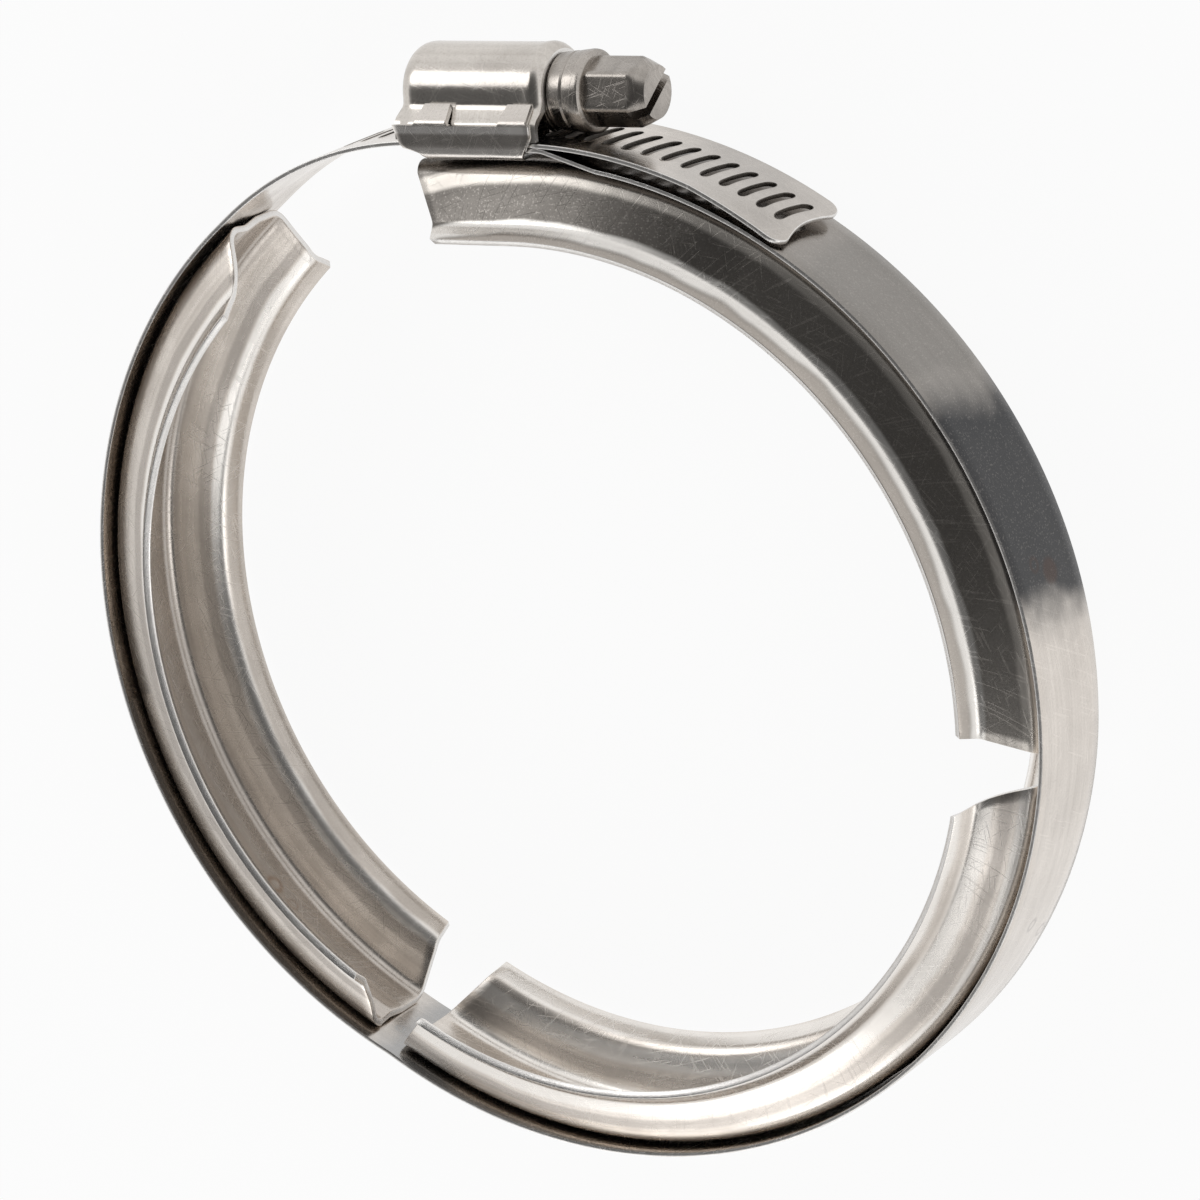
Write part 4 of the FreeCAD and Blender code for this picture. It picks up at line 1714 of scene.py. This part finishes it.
@dataclass
class Studio:
    """Camera, lamps, floor and surroundings.

    Attributes:
        lens: Focal length in mm on a 36 mm sensor.
        eye: Camera place in mm.
        right: Image x direction.
        up: Image y direction.
        back: Direction from the object to the camera.
        floor_z: Height of the floor in mm.
        floor_half: Half the width of the floor in metres.
        floor_glow: How much of its own white the floor shows.
        sky: Grey of the surroundings over the height, from below to above.
        samples: Samples per pixel.
        size: Width and height of the picture in pixels.
    """

    lens: float = 165.0
    eye: Triple = (341.265, 248.863, 576.529)
    right: Triple = (0.86049151, 0.0, -0.50946478)
    up: Triple = (-0.17255158, 0.94089735, -0.29144148)
    back: Triple = (0.47935406, 0.33869187, 0.80963418)
    floor_z: float = -11.52
    floor_half: float = 3.0
    floor_glow: float = 0.93
    sky: Curve = ((0.0, 0.95), (0.2, 0.9), (0.34, 1.0), (0.52, 1.0), (0.62, 0.42), (0.72, 0.18),
                  (0.9, 0.11), (1.0, 0.1))
    samples: int = 48
    size: int = 1200

    def build(self) -> None:
        """Set the camera, floor, world, lamps and render up."""
        self._camera()
        self._floor()
        self._world()
        for lamp in LAMPS:
            lamp.build()
        scene = bpy.context.scene
        scene.render.engine = "CYCLES"
        scene.cycles.samples = self.samples
        scene.cycles.max_bounces = 6
        scene.cycles.use_denoising = True
        scene.render.resolution_x = self.size
        scene.render.resolution_y = self.size
        scene.view_settings.view_transform = "Standard"

    def _camera(self) -> None:
        """Add the camera."""
        data = bpy.data.cameras.new("camera")
        data.lens = self.lens
        data.sensor_width = 36
        data.clip_start = 0.01
        obj = placed("camera", data)
        matrix = Matrix((self.right, self.up, self.back)).transposed().to_4x4()
        matrix.translation = Vector(self.eye) * MM
        obj.matrix_world = matrix
        bpy.context.scene.camera = obj

    def _floor(self) -> None:
        """Add a floor that shows white and keeps the shadow."""
        mesh = bpy.data.meshes.new("floor")
        half, z = self.floor_half, self.floor_z * MM
        mesh.from_pydata([(x * half, y * half, z) for x, y in ((-1, -1), (1, -1), (1, 1), (-1, 1))],
                         [], [(0, 1, 2, 3)])
        material = bpy.data.materials.new("floor")
        g = Graph(material)
        ray = g.node("LightPath").outputs
        seen = g.math("MAXIMUM", g.math("MAXIMUM", ray["Is Camera Ray"], ray["Is Glossy Ray"]),
                      ray["Is Transmission Ray"])
        lit = g.node("BsdfDiffuse", {"Color": (0.9, 0.9, 0.9, 1)})
        glow = g.node("Emission", {"Color": (1, 1, 1, 1), "Strength": 1.0})
        share = g.math("MULTIPLY", seen, self.floor_glow)
        mixed = g.node("MixShader", {0: share, 1: lit.outputs[0], 2: glow.outputs[0]})
        g.node("OutputMaterial", {"Surface": mixed.outputs[0]})
        mesh.materials.append(material)
        obj = placed("floor", mesh)

    def _world(self) -> None:
        """Light softly from all round, with darker bands for the steel to mirror."""
        world = bpy.data.worlds.new("world")
        bpy.context.scene.world = world
        g = Graph(world)
        height = g.node("SeparateXYZ", {0: g.node("TexCoord").outputs["Generated"]}).outputs[2]
        ramp = g.node("ValToRGB", {0: height})
        (first, level), *middle, (last, top) = self.sky
        ends = ramp.color_ramp.elements
        ends[0].position, ends[0].color = first, (level, level, level, 1)
        ends[1].position, ends[1].color = last, (top, top, top, 1)
        for place, grey in middle:
            ends.new(place).color = (grey, grey, grey, 1)
        sky = g.node("Background", {0: ramp.outputs[0]})
        white = g.node("Background", {0: (1, 1, 1, 1)})
        seen = g.node("LightPath").outputs["Is Camera Ray"]
        mixed = g.node("MixShader", {0: seen, 1: sky.outputs[0], 2: white.outputs[0]})
        g.node("OutputWorld", {0: mixed.outputs[0]})


# Assembly


@dataclass(frozen=True)
class Bend:
    """Gap between two bodies on a stretch of the strap.

    Attributes:
        before: Body up to the gap, not used.
        after: Body from the gap on, not used.
        start: Start of the bend in the ring plane, in mm.
        end: End of the bend.
    """

    before: Body
    after: Body
    start: Point
    end: Point

    def apply(self, obj: bpy.types.Object) -> None:
        """Bake the transform of an object into its mesh."""
        start, end = (Vector((*point, 0)) * MM for point in (self.start, self.end))
        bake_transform(obj)


RIGHT_BEND = Bend(Body.MAIN, Body.SEGMENT_C, (67.5, 1.5), (67.3, -4.2))
LOW_BEND = Bend(Body.SEGMENT_C, Body.SEGMENT_B, (-26.2, -61.2), (-30.8, -58.8))
LEFT_BEND = Bend(Body.SEGMENT_B, Body.STRAP, (-53.3, 51.2), (-25.0, 66.5))


@dataclass
class Clamp:
    """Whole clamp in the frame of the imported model.

    Attributes:
        lower_share: Share of the left arc that belongs to the lower stretch of the strap.
    """

    lower_share: float = 0.45

    def build(self) -> None:
        """Build and dress every piece in order."""
        strap_metal = STRAP_STEEL.make()
        edge = EDGE_STEEL.make()
        # Painted shade for the inside of the slots.
        dark = SLOT_SHADE_STEEL.make()
        strap = Strap(StrapSizes())
        self._strap(strap, strap_metal, dark, edge)
        self._retainers(strap, edge)
        self._screw_unit(edge, dark)

    def _strap(self, strap: Strap, metal: Metal, dark: Metal, edge: Metal) -> None:
        """Build the three stretches of the strap and bake their transforms.

        Args:
            strap: The strap.
            metal: Finish of the strip.
            dark: Dark colour inside the slots, painted shade.
            edge: Finish of the cut edges.
        """
        marks = strap.marks
        mid_c = (marks["c"] + marks["gap2"]) / 2
        mid_b = marks["b"] + (marks["b_end"] - marks["b"]) * self.lower_share
        tail_metal = TAIL_STEEL.make()
        made = ((strap.plain("strap_upper", 0.0, mid_c, [metal, edge]), RIGHT_BEND),
                (strap.plain("strap_lower", mid_c, mid_b, [metal, edge]), LOW_BEND),
                (strap.slotted("strap_tail", mid_b, [tail_metal, dark, edge]), LEFT_BEND))
        for obj, bend in made:
            bend.apply(obj)
            self._assign(obj, "band", Slot.STRAP)

    def _retainers(self, strap: Strap, edge: Metal) -> None:
        """Build the three retainers.

        Args:
            strap: The strap, which knows the centres of the arcs.
            edge: Finish of the cut ends.
        """
        centres = strap.centres
        top = Retainer("retainer_top", centres["a"], 1.1, FOOT, (End(), A_LEFT), 15.9)
        left = Retainer("retainer_left", centres["b"], 134.6, 247.3, (B_TOP, B_LOW))
        right = Retainer("retainer_right", centres["c"], 245.3, 356.6, (End(), C_TOP))
        for retainer, node, body, steel in ((top, "retainer_a", Body.MAIN, TOP_STEEL),
                                            (left, "retainer_b", Body.SEGMENT_B, LEFT_STEEL),
                                            (right, "retainer_c", Body.SEGMENT_C, RIGHT_STEEL)):
            obj = retainer.build(steel, edge)
            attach(obj, body.value)
            self._assign(obj, node, Slot.RETAINER)

    def _screw_unit(self, edge: Metal, dark: Metal) -> None:
        """Build the housing, the saddle and the screw.

        Args:
            edge: Finish of the cut edges.
            dark: Dark colour inside the drive slot, painted shade.
        """
        screw = SCREW_STEEL.make()
        made = ((Housing().build(HOUSING_STEEL.make(), edge), "housing", Slot.HOUSING, Body.MAIN),
                (Saddle().build(SADDLE_STEEL.make(), edge), "saddle", Slot.SADDLE, Body.MAIN),
                (WormScrew().build(screw, dark), "worm_screw", Slot.SCREW, Body.SCREW))
        for obj, node, slot, body in made:
            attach(obj, body.value)
            self._assign(obj, node, slot)

    def _assign(self, obj: bpy.types.Object, node: str, slot: Slot) -> None:
        """Hide the node of the model that a piece takes over."""
        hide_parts(node)


def main() -> None:
    """Build the clamp and its studio."""
    logging.basicConfig(level=logging.INFO, format="%(message)s")
    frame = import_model()
    LOG.info("frame read, with %d entries", len(frame))
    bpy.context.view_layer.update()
    Studio().build()
    Clamp().build()


if __name__ == "__main__":
    main()
